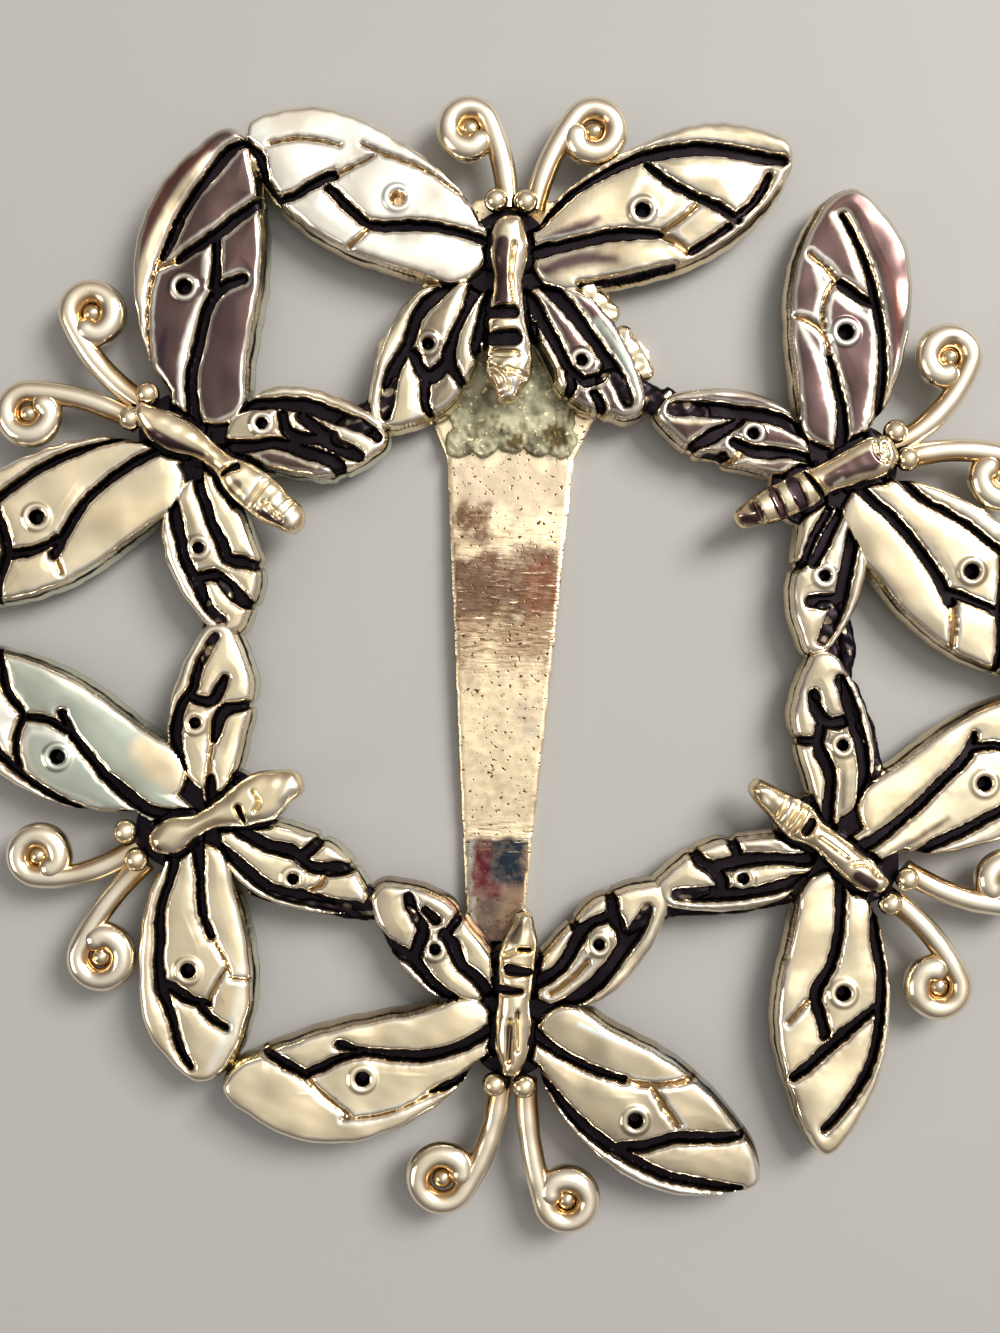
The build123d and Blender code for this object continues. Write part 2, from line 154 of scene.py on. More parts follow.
# Wing patterns. The outline and the seeds are shares of a wing's length along it and of its width
# across it, the leading side positive. Seeds lie in the rim, then in the cells round from the root.
Pattern = namedtuple("Pattern", "length width root dot_radius outline seeds")
FOREWING = Pattern(
    14.6, 6.7, (2.0, 2.55), 0.5,
    [
        (0.02, 0.20), (0.11, 0.31), (0.27, 0.41), (0.41, 0.455), (0.55, 0.46), (0.69, 0.41),
        (0.82, 0.31), (0.92, 0.18), (1.0, 0.0), (0.94, -0.17), (0.83, -0.30), (0.70, -0.42),
        (0.555, -0.51), (0.43, -0.53), (0.28, -0.49), (0.12, -0.43), (-0.02, -0.35), (-0.08, -0.10),
    ],
    [(0.50, 0.41), (0.25, 0.09), (0.76, 0.03), (0.58, -0.32), (0.20, -0.28)],
)
HINDWING = Pattern(
    8.6, 4.3, (1.45, -0.65), 0.38,
    [
        (-0.05, 0.20), (0.08, 0.40), (0.20, 0.51), (0.41, 0.53), (0.64, 0.43), (0.87, 0.24),
        (0.98, 0.08), (0.99, -0.14), (0.886, -0.28), (0.744, -0.40), (0.59, -0.46), (0.41, -0.42),
        (0.20, -0.33), (0.02, -0.22), (-0.08, -0.02),
    ],
    [(0.41, 0.46), (0.20, 0.15), (0.78, -0.08), (0.57, -0.30), (0.27, -0.21)],
)

# One row a wing, as in the solids: bend bows the wing forward and blunt widens its tip. The value
# after shift is how strong the painted dark reflection streaked along a butterfly's antennae is, and
# wall the tone painted on its sides, which stands for the light they reflect.
Wing = namedtuple("Wing", "angle length width bend blunt")
Antenna = namedtuple("Antenna", "base lean shaft bend curl turn")
Butterfly = namedtuple("Butterfly", "name place reach heading shift stain wall forewings hindwings antennae")
BUTTERFLIES = [
    Butterfly(
        "butterfly_top", 91.5, 1.00, 87.5, 0.0, 0.35, "c",
        (Wing(25.4, 0.98, 1.05, 0.0, 0.5), Wing(24.5, 1.02, 1.08, 0.0, 0.5)),
        (Wing(-50.6, 1.04, 1.34, 0.0, 0.0), Wing(-41.3, 1.0, 1.18, -0.02, 0.0)),
        (Antenna(0.2, 3, 0.83, 24, 0.97, 235), Antenna(1.3, 10, 0.93, 25, 1.04, 262)),
    ),
    Butterfly(
        "butterfly_upper_right", 28.0, 0.974, 24.0, 0.0, 0.85, "c",
        (Wing(25.2, 0.93, 1.02, 0.02, 0.7), Wing(26.0, 1.04, 1.15, 0.0, 0.4)),
        (Wing(-42.9, 0.99, 1.08, 0.03, 0.0), Wing(-24.4, 0.94, 1.0, 0.05, 0.0)),
        (Antenna(0.2, 2, 1.04, 43, 1.0, 240), Antenna(0.7, 6, 1.0, 34, 1.0, 245)),
    ),
    Butterfly(
        "butterfly_lower_right", -31.5, 1.04, -34.5, 0.4, 0.35, "g",
        (Wing(27.0, 1.02, 1.08, 0.02, 0.3), Wing(30.3, 1.02, 0.97, 0.0, 0.0)),
        (Wing(-37.3, 1.02, 1.05, 0.0, 0.0), Wing(-37.3, 1.02, 1.0, 0.0, 0.0)),
        (Antenna(0.8, 1, 1.0, 30, 1.02, 245), Antenna(0.95, 0, 1.0, 30, 1.02, 240)),
    ),
    Butterfly(
        "butterfly_bottom", -90.3, 1.00, -93.5, 0.0, 0.35, "o",
        (Wing(29.9, 0.97, 1.03, 0.045, 0.2), Wing(14.6, 0.99, 0.98, 0.09, 0.4)),
        (Wing(-40.0, 1.02, 1.12, 0.02, 0.0), Wing(-33.8, 0.96, 1.10, 0.0, 0.0)),
        (Antenna(0.95, 3, 1.19, 19, 1.02, 275), Antenna(0.5, 0, 1.12, 31, 1.13, 268)),
    ),
    Butterfly(
        "butterfly_lower_left", 208.7, 0.981, 201.5, -0.2, 0.35, "s",
        (Wing(16.5, 0.86, 0.95, 0.01, 0.7), Wing(36.0, 1.0, 1.03, 0.05, 0.3)),
        (Wing(-37.3, 0.99, 1.08, 0.0, 0.0), Wing(-21.9, 1.04, 1.12, 0.01, 0.0)),
        (Antenna(1.35, 21, 0.98, 21, 1.06, 265), Antenna(-0.3, -17, 1.0, 44, 0.97, 265)),
    ),
    Butterfly(
        "butterfly_upper_left", 148.5, 1.01, 145.5, 0.0, 0.35, "s",
        (Wing(26.0, 1.02, 1.12, 0.03, 0.3), Wing(27.0, 1.06, 1.10, 0.07, 0.2)),
        (Wing(-41.3, 0.98, 1.25, 0.01, 0.0), Wing(-51.0, 0.97, 1.25, 0.01, 0.0)),
        (Antenna(0.8, 5, 1.03, 28, 1.02, 255), Antenna(0.3, -3, 1.05, 34, 1.02, 265)),
    ),
]

# How each wing is cut and how its metal looks. A stroke has its points between commas, each with
# its share along the wing, its share across it and its half width in millimetres, in hundredths.
# Deep grooves are blackened and shallow ones brown; the streaks colour the surface alone, as painted
# highlights and painted reflections, and start with their tone. tones are those of the cells at the
# pattern's seeds, painted reflections of the light each cell catches. dot has the dot's place, and a
# third value where its soot is thin.
Detail = namedtuple("Detail", "tones dot deep shallow streaks")
DETAILS = {
    "butterfly_top": (
        Detail("wwwww", (0.342, 0.03, 0.35), [
            "-5 6 16, 8 2 15, 19 -5 19, 30 -17 20, 39 -25 16, 50 -21 17, 60 -14 14",
            "60.5 -4 18, 65 -14 18, 70 -29 14, 75 -37 10", "75 -36 10, 83 -29 14, 90 -15 16, 98 -12 14"
        ], [
            "39 -26 12, 40 -36 10, 42 -48 12", "10 28 3, 30 33 5, 46 29 8, 56 27 4",
            "50 24 5, 55 10 6, 60 -3 9", "64 17 5, 78 8 7, 88 -5 9"
        ], [
            "o 8 -36 10, 25 -44 14, 45 -50 12, 66 -42 6", "a 33.5 3 30, 35 3 30"
        ]),
        Detail("ggwwo", (0.388, -0.03), [
            "2 18 10, 10 25 10, 28 34 12, 44 36 20, 56 31 26, 70 21 26, 84 5 24, 95 -6 18",
            "-8 -1 26, 10 -6 22, 24 -11 24, 34 -18 20, 42 -25 10",
            "47 29 10, 51 13 15, 56 0 14, 61 -11 15, 66 -21 18, 70.5 -33 16",
            "71 -31 11, 80 -24 12, 88 -12 10", "50 -46 10, 59 -41 9, 67 -36 9",
            "7 -38 9, 25 -46 11, 42 -51 10"
        ], [
            "42 -25 12, 46 -35 18, 49 -46 15", "43 -23 9, 51 -20 11, 58 -14 12"
        ], [
            "m 0 4 30, 14 2 45, 22 4 20", "m -5 -18 40, 10 -20 50, 22 -30 30",
            "w 36 5 20, 44 18 25, 50 -2 20, 40 -12 15", "w 60 10 30, 72 -2 40, 73 -17 30"
        ]),
        Detail("cowog", (0.42, 0.1), [
            "-2 33 22, 15 36 22, 32 36 20, 50 25 15, 68 18 22, 84 4 22, 93 -6 12",
            "-6 12 28, 8 6 10, 22 0 8, 34 -8 16, 42 -17 24, 44 -28 12",
            "45 -15 20, 56 -12 26, 56 3 18, 53 14 14, 55 22 14", "57 -10 18, 66 -19 10, 72 -29 6",
            "-4 -5 20, 10 -16 14, 25 -29 12"
        ], [], [
            "w 0 22 20, 18 12 20, 34 0 14", "w 45 32 22, 68 24 16, 86 14 14, 97 0 10",
            "w 60 0 12, 72 -15 14, 84 -28 30", "n -2 46 10, 30 48 10, 60 43 10"
        ]),
        Detail("mmggo", (0.488, -0.05), [
            "-5 24 26, 15 26 26, 35 23 20, 55 17 15, 72 9 22, 88 -4 20",
            "-3 0 22, 14 -6 18, 30 -12 15, 44 -20 12, 56 -20 12", "63 12 12, 64.5 -5 16, 60 -19 16",
            "10 -16 12, 24 -30 10, 42 -42 10", "50 -24 14, 56 -34 10", "70 -22 10, 80 -30 10"
        ], [], [
            "c -5 17 12, 20 16 12, 45 11 12, 58 4 10", "c 22 -22 10, 38 -31 12, 50 -38 10",
            "s 38 37 18, 60 32 20, 80 18 16, 97 2 10"
        ]),
    ),
    "butterfly_upper_right": (
        Detail("mmmmm", (0.402, -0.07), [
            "5 24 12, 22 25 13, 38 23 12, 50 18 14, 68 8 10, 88 -7 7",
            "-8 -3 26, 6 -5 16, 18 -11 12, 30 -19 6", "52 14 10, 56 0 20, 60 -11 18"
        ], [
            "30 -19 7, 40 -26 10, 45 -40 10, 46 -48 8", "42 -25 7, 52 -25 7, 60 -17 8",
            "60 -13 12, 67 -22 10, 72 -32 8"
        ], [
            "m 14 31 12, 35 35 34, 55 31 38, 75 18 30, 92 -1 20", "r 30 34 10, 52 33 20, 70 20 12",
            "w 2 14 12, 15 16 12, 32 17 13, 45 12 14, 50 -3 13, 55 -17 12",
            "w -5 -12 12, 12 -17 14, 28 -28 16, 42 -44 10", "w 57 4 12, 72 -3 14, 88 -14 12",
            "w 47 -32 12, 58 -27 16, 70 -30 14"
        ]),
        Detail("gggcg", (0.445, 0.02), [
            "1 21 14, 14 20 12, 24 24 10, 38 27 10, 60 24 14, 80 10 14, 92 -4 10",
            "-5 -4 18, 10 -5 18, 25 -10 18, 36 -16 20, 46 -24 24", "44 -19 18, 54 -12 14, 63 -7 14",
            "50 26 10, 57 8 12, 62 -6 14, 70 -22 14, 75 -38 12"
        ], [
            "47 -25 18, 53 -38 16, 57 -48 10"
        ], [
            "w 2 15 10, 20 17 8, 45 20 8, 56 0 8", "w 10 27 20, 25 33 20, 42 36 20"
        ]),
        Detail("mmmmm", (0.352, 0.05), [
            "-10 31 16, 10 36 20, 33 31 20, 52 20 24, 72 10 26, 89 -1 22",
            "-6 10 12, 8 4 10, 19 -5 18, 30 -13 18, 44 -13 10",
            "46 18 10, 50 4 14, 56 -10 22, 62 -24 22, 68 -38 10", "46 -33 10, 52 -40 16, 58 -44 10"
        ], [
            "36 -15 10, 39 -28 10, 42 -40 8"
        ], [
            "c -4 24 12, 18 24 10, 38 17 10, 48 0 10", "c 18 58 12, 45 47 12, 70 33 14, 95 12 16",
            "c 2 0 8, 16 -12 10, 30 -30 10", "c 52 10 10, 66 -4 10, 88 -15 14",
            "c 34 -22 20, 45 -30 20, 60 -42 12"
        ]),
        Detail("gmwgc", (0.452, -0.03), [
            "-6 46 14, 15 40 18, 36 29 20, 58 20 22, 78 10 24, 90 1 12",
            "-2 27 10, 12 12 16, 24 -2 18, 36 -16 18", "62 12 20, 63 -4 26, 63 -18 20",
            "-6 16 10, 10 -2 10, 26 -20 10, 38 -33 8"
        ], [], [
            "w -2 40 10, 14 27 14, 30 19 14, 52 13 12", "w 2 14 12, 20 -10 14, 40 -32 16",
            "a -8 5 12, 12 -16 14, 34 -38 12", "a 50 37 14, 70 22 14, 88 8 10"
        ]),
    ),
    "butterfly_lower_right": (
        Detail("cgcga", (0.402, -0.01), [
            "2 27 16, 10 25 20, 25 25 20, 40 24 18, 58 25 18, 76 14 16, 92 -3 12",
            "-12 4 28, 4 -2 18, 16 -9 18, 30 -19 18, 42 -29 18, 46 -37 10",
            "45 25 12, 52 12 18, 59 -4 20, 66 -19 18, 71 -33 14", "43 -29 14, 51 -22 12, 57 -11 14"
        ], [], [
            "m -2 16 16, 12 13 20, 22 10 16", "m -6 -5 8, 10 -14 12, 28 -25 10",
            "w 16 29 6, 28 36 12, 42 37 10"
        ]),
        Detail("ccccc", (0.384, 0.03), [
            "6 26 12, 18 28 20, 30 35 18, 42 36 18, 56 35 16, 68 28 16, 79 15 16, 90 -4 13",
            "-4 -5 22, 8 -4 18, 20 -5 18, 31 -11 20, 40 -20 24, 48 -14 20, 55 -9 22",
            "43 33 14, 49 18 18, 55 4 24, 61 -9 20, 67 -22 18, 71.5 -34 14"
        ], [
            "42 -24 12, 46 -33 10, 51 -42 10"
        ], [
            "w 50 20 12, 60 0 10, 70 -22 10", "g 10 -43 10, 35 -48 14, 60 -44 12, 85 -26 10"
        ]),
        Detail("gcccc", (0.392, 0.13), [
            "-12 29 20, 8 37 20, 36 38 20, 50 32 24, 65 25 24, 80 16 18",
            "-4 -9 20, 14 -3 13, 26 -6 20, 37 -15 18, 50 -12 18", "54 16 20, 53 0 18, 60 -14 20, 72 -19 14",
            "42 -16 10, 43 -38 10"
        ], [], [
            "o 0 10 10, 20 12 10", "n 80 36 20, 92 30 20, 100 15 10"
        ]),
        Detail("ggogo", (0.432, 0.1), [
            "-8 38 24, 10 37 24, 30 34 18, 46 29 15, 60 20 24, 74 12 24, 86 4 15",
            "-4 14 24, 14 4 14, 30 -7 20, 44 -12 24, 55 -14 24", "57 16 18, 57 0 22, 60 -15 24, 66 -30 20",
            "42 -14 16, 42 -36 14"
        ], [], [
            "s 8 14 8, 30 4 10, 52 -6 8", "s 20 44 8, 50 36 8, 80 14 8, 95 2 8",
            "w 12 -2 8, 20 -20 8, 36 -34 8"
        ]),
    ),
    "butterfly_bottom": (
        Detail("ggggg", (0.452, 0.03), [
            "-1 23 16, 10 25 12, 22 30 20, 36 33 24, 50 32 24, 64 29 20, 80 20 18, 95 10 12",
            "-8 2 26, 8 -2 15, 22 -10 14, 33 -18 10",
            "46 29 18, 53 19 26, 58 8 20, 63 -3 22, 71 -12 20, 79 -21 18, 84 -28 12"
        ], [
            "33 -18 10, 42 -26 14, 50 -39 12, 56 -50 12", "43 -27 10, 50 -21 15, 60 -12 14"
        ], [
            "b 6 -30 9, 22 -40 10, 36 -49 10, 52 -54 8", "w 52 46 12, 66 43 16, 78 36 10",
            "b 45 41 8, 62 38 8, 88 22 8", "r 20 43 12, 40 54 12, 60 50 12, 84 36 16, 100 20 12",
            "w 100 10 30, 96 -8 26, 88 -22 12", "b 56 -48 10, 70 -43 10, 82 -32 10"
        ]),
        Detail("ccccc", (0.458, -0.06), [
            "2 22 6, 9 24 13, 15 24 12, 21 24 4",
            "-7 0 22, 8 -2 20, 24 -10 22, 35 -20 18, 44 -28 12, 52 -38 16",
            "44 -27 10, 50 -27 11, 58 -22 14, 66 -16 12", "67 -14 12, 74 -24 18, 81 -32 12"
        ], [
            "22 25 4, 40 28 4, 56 24 6", "53 24 6, 58 12 13, 63 0 12, 67 -13 12"
        ], [
            "n 78 36 6, 88 25 12, 100 8 16", "w 10 40 20, 35 44 20, 60 42 20, 80 30 14"
        ]),
        Detail("cggcc", (0.455, -0.03), [
            "-12 29 22, 15 35 26, 38 29 26, 58 18 24, 74 8 26, 83 0 14",
            "-2 -6 22, 14 -5 18, 28 -14 20, 40 -25 22, 50 -27 15, 60 -22 18",
            "58 14 10, 62 0 18, 63 -15 22, 68 -32 18", "39 -24 12, 40 -38 10"
        ], [
            "2 13 4, 18 12 5, 33 6 7"
        ], [
            "s 40 50 10, 60 40 12, 80 22 12", "r 60 36 6, 74 30 10, 80 22 6"
        ]),
        Detail("gggoc", (0.432, 0.07), [
            "-12 34 20, 12 42 18, 34 40 15, 50 34 20, 66 36 22, 84 34 20",
            "-8 11 20, 10 5 18, 24 3 18, 34 -8 22, 44 -13 14",
            "51 30 18, 54 12 20, 58 -3 18, 68 -11 14, 78 -22 14", "43 -14 8, 43 -36 8", "54 -20 12, 64 -22 8"
        ], [], [
            "w 57 22 12, 62 5 12, 70 -4 10"
        ]),
    ),
    "butterfly_lower_left": (
        Detail("cccwc", (0.492, 0.02), [
            "-2 8 20, 10 14 14, 20 22 16, 34 25 18, 46 28 18, 56 26 24, 70 18 14, 84 13 14, 92 7 8",
            "55 22 20, 59 11 22, 63 1 16, 64.5 -11 10", "-8 -12 26, 8 -14 14, 24 -14 14, 35 -20 10",
            "64 -4 12, 71 -11 13, 76 -21 10"
        ], [
            "36 -21 5, 46 -31 5, 52 -34 4", "50 -31 5, 57 -20 6, 63 -13 8", "54 -34 4, 56 -48 5"
        ], [
            "w 50 -46 30, 70 -32 30, 90 -10 26, 100 0 10"
        ]),
        Detail("wsssc", (0.393, 0.08), [
            "-2 34 18, 14 36 9, 28 38 10, 42 37 9, 54 33 13, 70 24 14, 86 8 12",
            "0 16 24, 10 10 26, 20 4 18, 30 -5 15, 40 -14 14, 47 -23 15",
            "50 31 8, 55 20 10, 58 6 11, 59 -4 11, 67 -10 13, 74 -20 13, 80 -31 10",
            "42 -14 14, 50 -13 10, 57 -6 10"
        ], [], [
            "c -16 -10 90, -2 -18 100, 13 -28 80", "w 5 30 10, 25 28 6, 45 26 10, 53 5 16, 42 -6 20, 22 8 10",
            "w 20 -42 10, 45 -46 12, 70 -40 10"
        ]),
        Detail("ccccc", (0.505, 0.13), [
            "-12 27 20, 8 30 18, 28 37 20, 44 38 20, 60 28 26, 78 19 24, 96 5 28",
            "4 -4 20, 28 -6 20, 42 -14 22, 55 -10 13, 65 -16 22, 74 -27 22, 80 -34 10", "48 -16 18, 52 -38 14"
        ], [
            "64 14 5, 68 0 6, 66 -10 8"
        ], [
            "w 80 10 20, 94 -10 20, 84 -28 20"
        ]),
        Detail("ccccc", (0.362, 0.2), [
            "-8 35 10, 10 37 8, 24 44 20, 38 42 18, 48 36 12, 56 25 10, 68 19 10, 80 10 12, 90 0 6",
            "25 -1 5, 34 -5 16, 44 -14 20, 46 -26 12", "52 24 10, 50.5 0 15, 57 -7 14, 64 -13 8",
            "-5 4 16, 2 4 4"
        ], [
            "2 5 4, 14 4 4, 26 0 5"
        ], [
            "w 56 42 16, 75 28 20, 92 12 14"
        ]),
    ),
    "butterfly_upper_left": (
        Detail("ccccc", (0.486, 0.0), [
            "0 22 10, 12 27 4, 24 30 11, 40 31 13, 56 27 14, 74 18 14, 92 0 10",
            "-6 6 14, 8 4 16, 20 0 13, 34 -10 16, 44 -22 18, 50 -30 20",
            "60 24 12, 62.5 6 18, 65 -10 20, 72 -22 16, 78 -38 12", "46 -21 14, 55 -20 14, 64 -13 20"
        ], [
            "50 -30 14, 51 -44 12"
        ], [
            "w 50 -52 10, 30 -52 20, 10 -44 20"
        ]),
        Detail("mmmmm", (0.402, 0.05), [
            "50 24 8, 57 19 16, 70 12 14, 80 3 18, 88 -3 26, 94 -11 14, 95.5 -18 14",
            "-10 2 26, 8 1 20, 20 -6 20, 30 -11 18, 38 -17 22, 43 -26 22, 46 -38 18",
            "50 12 10, 56 -2 18, 61 -14 22, 68 -26 22, 75.5 -39 18", "42 -18 22, 50 -17 14, 59 -14 14",
            "75.5 -42 10, 86 -34 12, 95 -20 12"
        ], [
            "4 31 5, 28 32 5, 45 28 7, 52 23 8", "46 26 8, 50 13 10"
        ], [
            "c 5 35 25, 25 38 35, 45 36 35, 60 28 30, 75 18 25, 88 6 20",
            "r 28 47 6, 45 44 16, 62 37 26, 78 26 30, 92 8 24", "a 20 48 5, 45 48 5, 70 38 6, 92 20 6",
            "w -2 10 14, 12 7 16, 28 -2 12, 36 -8 14", "w 45 -10 12, 55 -8 14",
            "w 78 -36 12, 86 -29 20, 95 -16 16, 100 -4 20", "c 10 -44 20, 30 -52 30, 45 -55 30, 68 -46 20",
            "n 6 22 20, 16 22 30, 24 18 15"
        ]),
        Detail("cgwcc", (0.408, 0.15), [
            "-12 31 10, 8 37 12, 20 36 20, 36 33 15, 52 29 15, 66 20 18, 80 14 14, 90 2 12",
            "-2 9 12, 15 3 14, 30 -3 14, 42 -10 20, 50 -14 18, 53 -26 20, 56 -38 14",
            "61 20 14, 60 2 16, 68 -10 24, 77 -21 24, 82 -30 12"
        ], [], [
            "w 15 42 18, 42 40 20, 70 28 16", "w -2 16 12, 20 12 14, 34 6 10", "m 12 0 8, 26 -8 12, 44 -18 12"
        ]),
        Detail("cggcm", (0.18, 0.16), [
            "-12 30 20, 12 37 14, 34 34 20, 50 29 28, 70 15 24, 85 5 20, 94 -6 12",
            "-10 -3 24, 10 -6 18, 24 -5 16, 36 -10 22, 50 -20 24, 66 -34 22",
            "32 24 13, 33 10 16, 40 -2 24, 52 -4 20, 66 -13 26, 80 -25 20", "45 20 20, 54 6 20, 64 -4 16"
        ], [], [
            "w 60 12 12, 80 -5 14, 94 -18 16", "c 46 -6 10, 60 -18 12, 74 -31 14",
            "c 22 -12 10, 38 -22 12, 52 -34 12"
        ]),
    ),
}

# Each body's head and tail points, its sides as rows of height up the body, left and right, the
# slots cut in it, the shallower folds, and streaks of tone, which are painted highlights and painted
# reflections. All but the two points are written as the wings' strokes are, in hundredths of the
# butterfly's millimetres.
Trunk = namedtuple("Trunk", "head tail sides slots folds streaks")
TRUNKS = {
    "butterfly_top": Trunk(
        (0.05, 4.1), (0.2, -6.35),
        "350 -88 85, 260 -102 105, 160 -100 108, 60 -80 85, -40 -85 92, -140 -95 105, -240 -95 130, "
        "-330 -90 150, -420 -100 160, -500 -85 145, -580 -40 95",
        ["-80 -140 28, 40 -135 28", "-65 -285 34, 50 -275 38"],
        [
            "30 240 5, 20 50 5, 42 -80 5", "-80 -375 10, 70 -370 10", "-70 -450 10, 0 -490 10, 30 -560 10",
            "20 -460 10, 120 -490 10"
        ],
        [
            "m -35 240 40, -40 120 40, -25 0 35, -30 -80 40",
            "w 85 260 12, 62 120 20, 65 0 20, 85 -120 20, 105 -250 25, 115 -380 30",
            "o -40 -340 30, 50 -340 20", "g -50 -440 30, -10 -500 30", "w 70 -510 35, 40 -580 25"
        ],
    ),
    "butterfly_upper_right": Trunk(
        (0.0, 4.55), (0.1, -5.3),
        "410 -95 90, 340 -115 115, 240 -112 105, 130 -95 92, 30 -90 82, -60 -95 100, -160 -95 112, "
        "-260 -90 112, -360 -80 100, -450 -55 75",
        ["-75 -68 8, 0 -50 10, 75 -30 12"],
        [
            "-80 -160 28, 90 -155 28", "-80 -280 18, 90 -278 18", "-70 -395 8, 80 -395 8",
            "-70 345 8, -10 330 8, 50 360 8", "-40 390 8, 20 375 10"
        ],
        [
            "m 10 280 60, 5 160 45, 15 30 40", "n -60 -160 38, 90 -155 38", "m -60 -280 32, 90 -278 32",
            "m -20 -410 30, 40 -410 30, 20 -480 30", "w 40 100 10, 50 50 10"
        ],
    ),
    "butterfly_lower_right": Trunk(
        (0.65, 4.2), (0.1, -5.3),
        "370 5 130, 300 -15 160, 200 -22 155, 100 -30 138, 0 -36 125, -90 -40 120, -160 -70 140, "
        "-240 -72 135, -310 -62 115, -400 -50 95, -480 -40 72",
        ["0 -135 18, 60 -135 20"],
        [
            "35 340 4, 30 220 5, 65 180 5", "50 130 4, 45 -50 4", "-60 -200 5, 120 -195 6",
            "-50 -250 8, 110 -245 8", "-50 -315 8, 90 -310 8"
        ],
        [
            "m 95 330 35, 100 240 33", "g 30 -360 35, 20 -470 30", "w -40 -280 15, 40 -280 20",
            "w 45 -400 10, 35 -440 12"
        ],
    ),
    "butterfly_bottom": Trunk(
        (-0.05, 4.4), (-0.25, -4.9),
        "390 -70 55, 300 -95 90, 200 -102 98, 100 -100 97, 10 -90 90, -70 -95 95, -160 -100 100, "
        "-260 -105 100, -330 -105 80, -420 -80 35",
        ["-30 -45 10, 75 -45 20", "-70 -150 16, 40 -160 26", "-65 -275 7, -10 -275 7"],
        ["15 340 6, 20 120 6", "-30 280 5, -20 80 5", "-10 -275 6, 70 -240 6"],
        [
            "w -80 320 15, -85 180 15, -75 30 15", "o 0 340 20, 10 240 25, 25 160 20",
            "r -25 100 10, -20 50 10", "o 20 -330 30, -10 -410 20", "w -80 -330 15, -60 -430 15",
            "w 20 -290 15, 40 -270 15"
        ],
    ),
    "butterfly_lower_left": Trunk(
        (-0.55, 3.9), (-0.3, -5.3),
        "350 -125 15, 280 -152 45, 200 -140 40, 120 -112 18, 40 -100 20, -50 -120 40, -130 -150 65, "
        "-200 -165 90, -280 -175 102, -360 -160 95, -450 -115 60",
        ["-120 -150 8, -40 -150 10"],
        ["-90 -230 5, -60 -265 6, 10 -260 5"],
        [
            "w -130 300 12, -100 120 12, -125 -100 20, -150 -240 20, -100 -420 30, -30 -480 30",
            "o -100 335 12, -60 350 12"
        ],
    ),
    "butterfly_upper_left": Trunk(
        (-0.1, 5.0), (-0.4, -6.4),
        "450 -80 40, 360 -115 70, 280 -120 88, 200 -105 92, 100 -70 85, 0 -55 70, -90 -70 65, "
        "-170 -110 85, -260 -130 95, -340 -140 95, -440 -145 80, -540 -120 60",
        ["-50 -115 7, -10 -130 8, 30 -155 16"],
        ["-110 -335 12, 60 -335 12", "-50 -400 8, -70 -520 10", "-40 -500 10, 40 -510 10"],
        [
            "m -80 340 28, -75 240 33, -45 120 20, -20 30 12", "o -80 -210 30, -50 -220 30",
            "w -100 -300 15, 80 -300 15", "m -100 -410 20, -90 -540 15", "w 0 -460 30, -30 -580 25"
        ],
    ),
}

# Bars of rough metal low on the casting: thickness, tone, the plan's margin and its grid, the
# rounding of the top's edge, then strength and size of the unevenness of the edge, of the top and
# of the blackening
Bar = namedtuple("Bar", "thickness tone margin grid rounding edge top soot")
LINK = Bar(1.1, "o", 1.6, 2.0, 0.40, (0.08, 0.9), (0.05, 0.7), (0.40, 0.8))
FLASH = Bar(0.95, "c", 1.2, 1.6, 0.35, (0.05, 1.4), (0.06, 0.6), (0.25, 0.7))
LINK_SOOT = 0.75
# Ragged flash left on the casting's edges: how black it is, then its stroke in the brooch's frame
FLASHES = [
    (0.95, [(8.4, -13.8, 0.35), (11.5, -13.6, 0.45), (15.0, -13.1, 0.35)]),
    (0.95, [(-15.2, -12.7, 0.3), (-12.3, -13.4, 0.4), (-8.6, -14.0, 0.4)]),
    (0.75, [(18.5, -1.2, 0.35), (19.4, -3.9, 0.5), (19.9, -6.2, 0.45)]),
    (0.85, [(17.9, 3.2, 0.35), (18.3, 1.5, 0.45), (18.2, -0.6, 0.4)]),
    (0.0, [(3.8, 20.8, 0.7), (4.9, 19.8, 0.6)]),
    (0.1, [(5.7, 18.5, 0.55), (6.9, 16.5, 0.55)]),
]


def polar(radius, degrees):
    """A point at a distance from the origin in a direction."""
    turn = math.radians(degrees)
    return radius * np.array((math.cos(turn), math.sin(turn)))


def place_of(bug):
    """Where a butterfly's own origin lies in the brooch's frame."""
    return RING_CENTRE + polar(RING_RADIUS * bug.reach, bug.place)


def framed(points, heading, origin):
    """Points of a plane whose y runs along a heading, in the brooch's frame."""
    x, y = np.asarray(points).T
    along, up = polar(1, heading - 90)
    return np.column_stack((x * along - y * up, x * up + y * along)) + origin


PAD_MIDDLE = place_of(BUTTERFLIES[0]) + polar(PAD_SHIFT, BUTTERFLIES[0].heading - 90)

Site = namedtuple("Site", "wing side pattern detail")


def wings_of(bug):
    """A butterfly's four wings, the forewings first."""
    sites = []
    for wings, pattern in ((bug.forewings, FOREWING), (bug.hindwings, HINDWING)):
        for side, wing in zip(SIDES, wings):
            sites.append(Site(wing, side, pattern, DETAILS[bug.name][len(sites)]))
    return sites


def rotated(share, site):
    """A pattern's point in its butterfly's plane, by the rule of the solids."""
    wing, pattern = site.wing, site.pattern
    along, across = share
    full = pattern.length * wing.length
    lift = pattern.width * wing.width * across * (1 + wing.blunt * max(0, along - 0.5))
    lift += full * wing.bend * 4 * along * (1 - along)
    turn = math.radians(wing.angle)
    x = pattern.root[0] + full * along * math.cos(turn) - lift * math.sin(turn)
    y = pattern.root[1] + full * along * math.sin(turn) + lift * math.cos(turn)
    return (site.side * x, y)


def stroke(text):
    """A written stroke's rows of two places and a half width."""
    return [tuple(float(value) / 100 for value in point.split()) for point in text.split(",")]


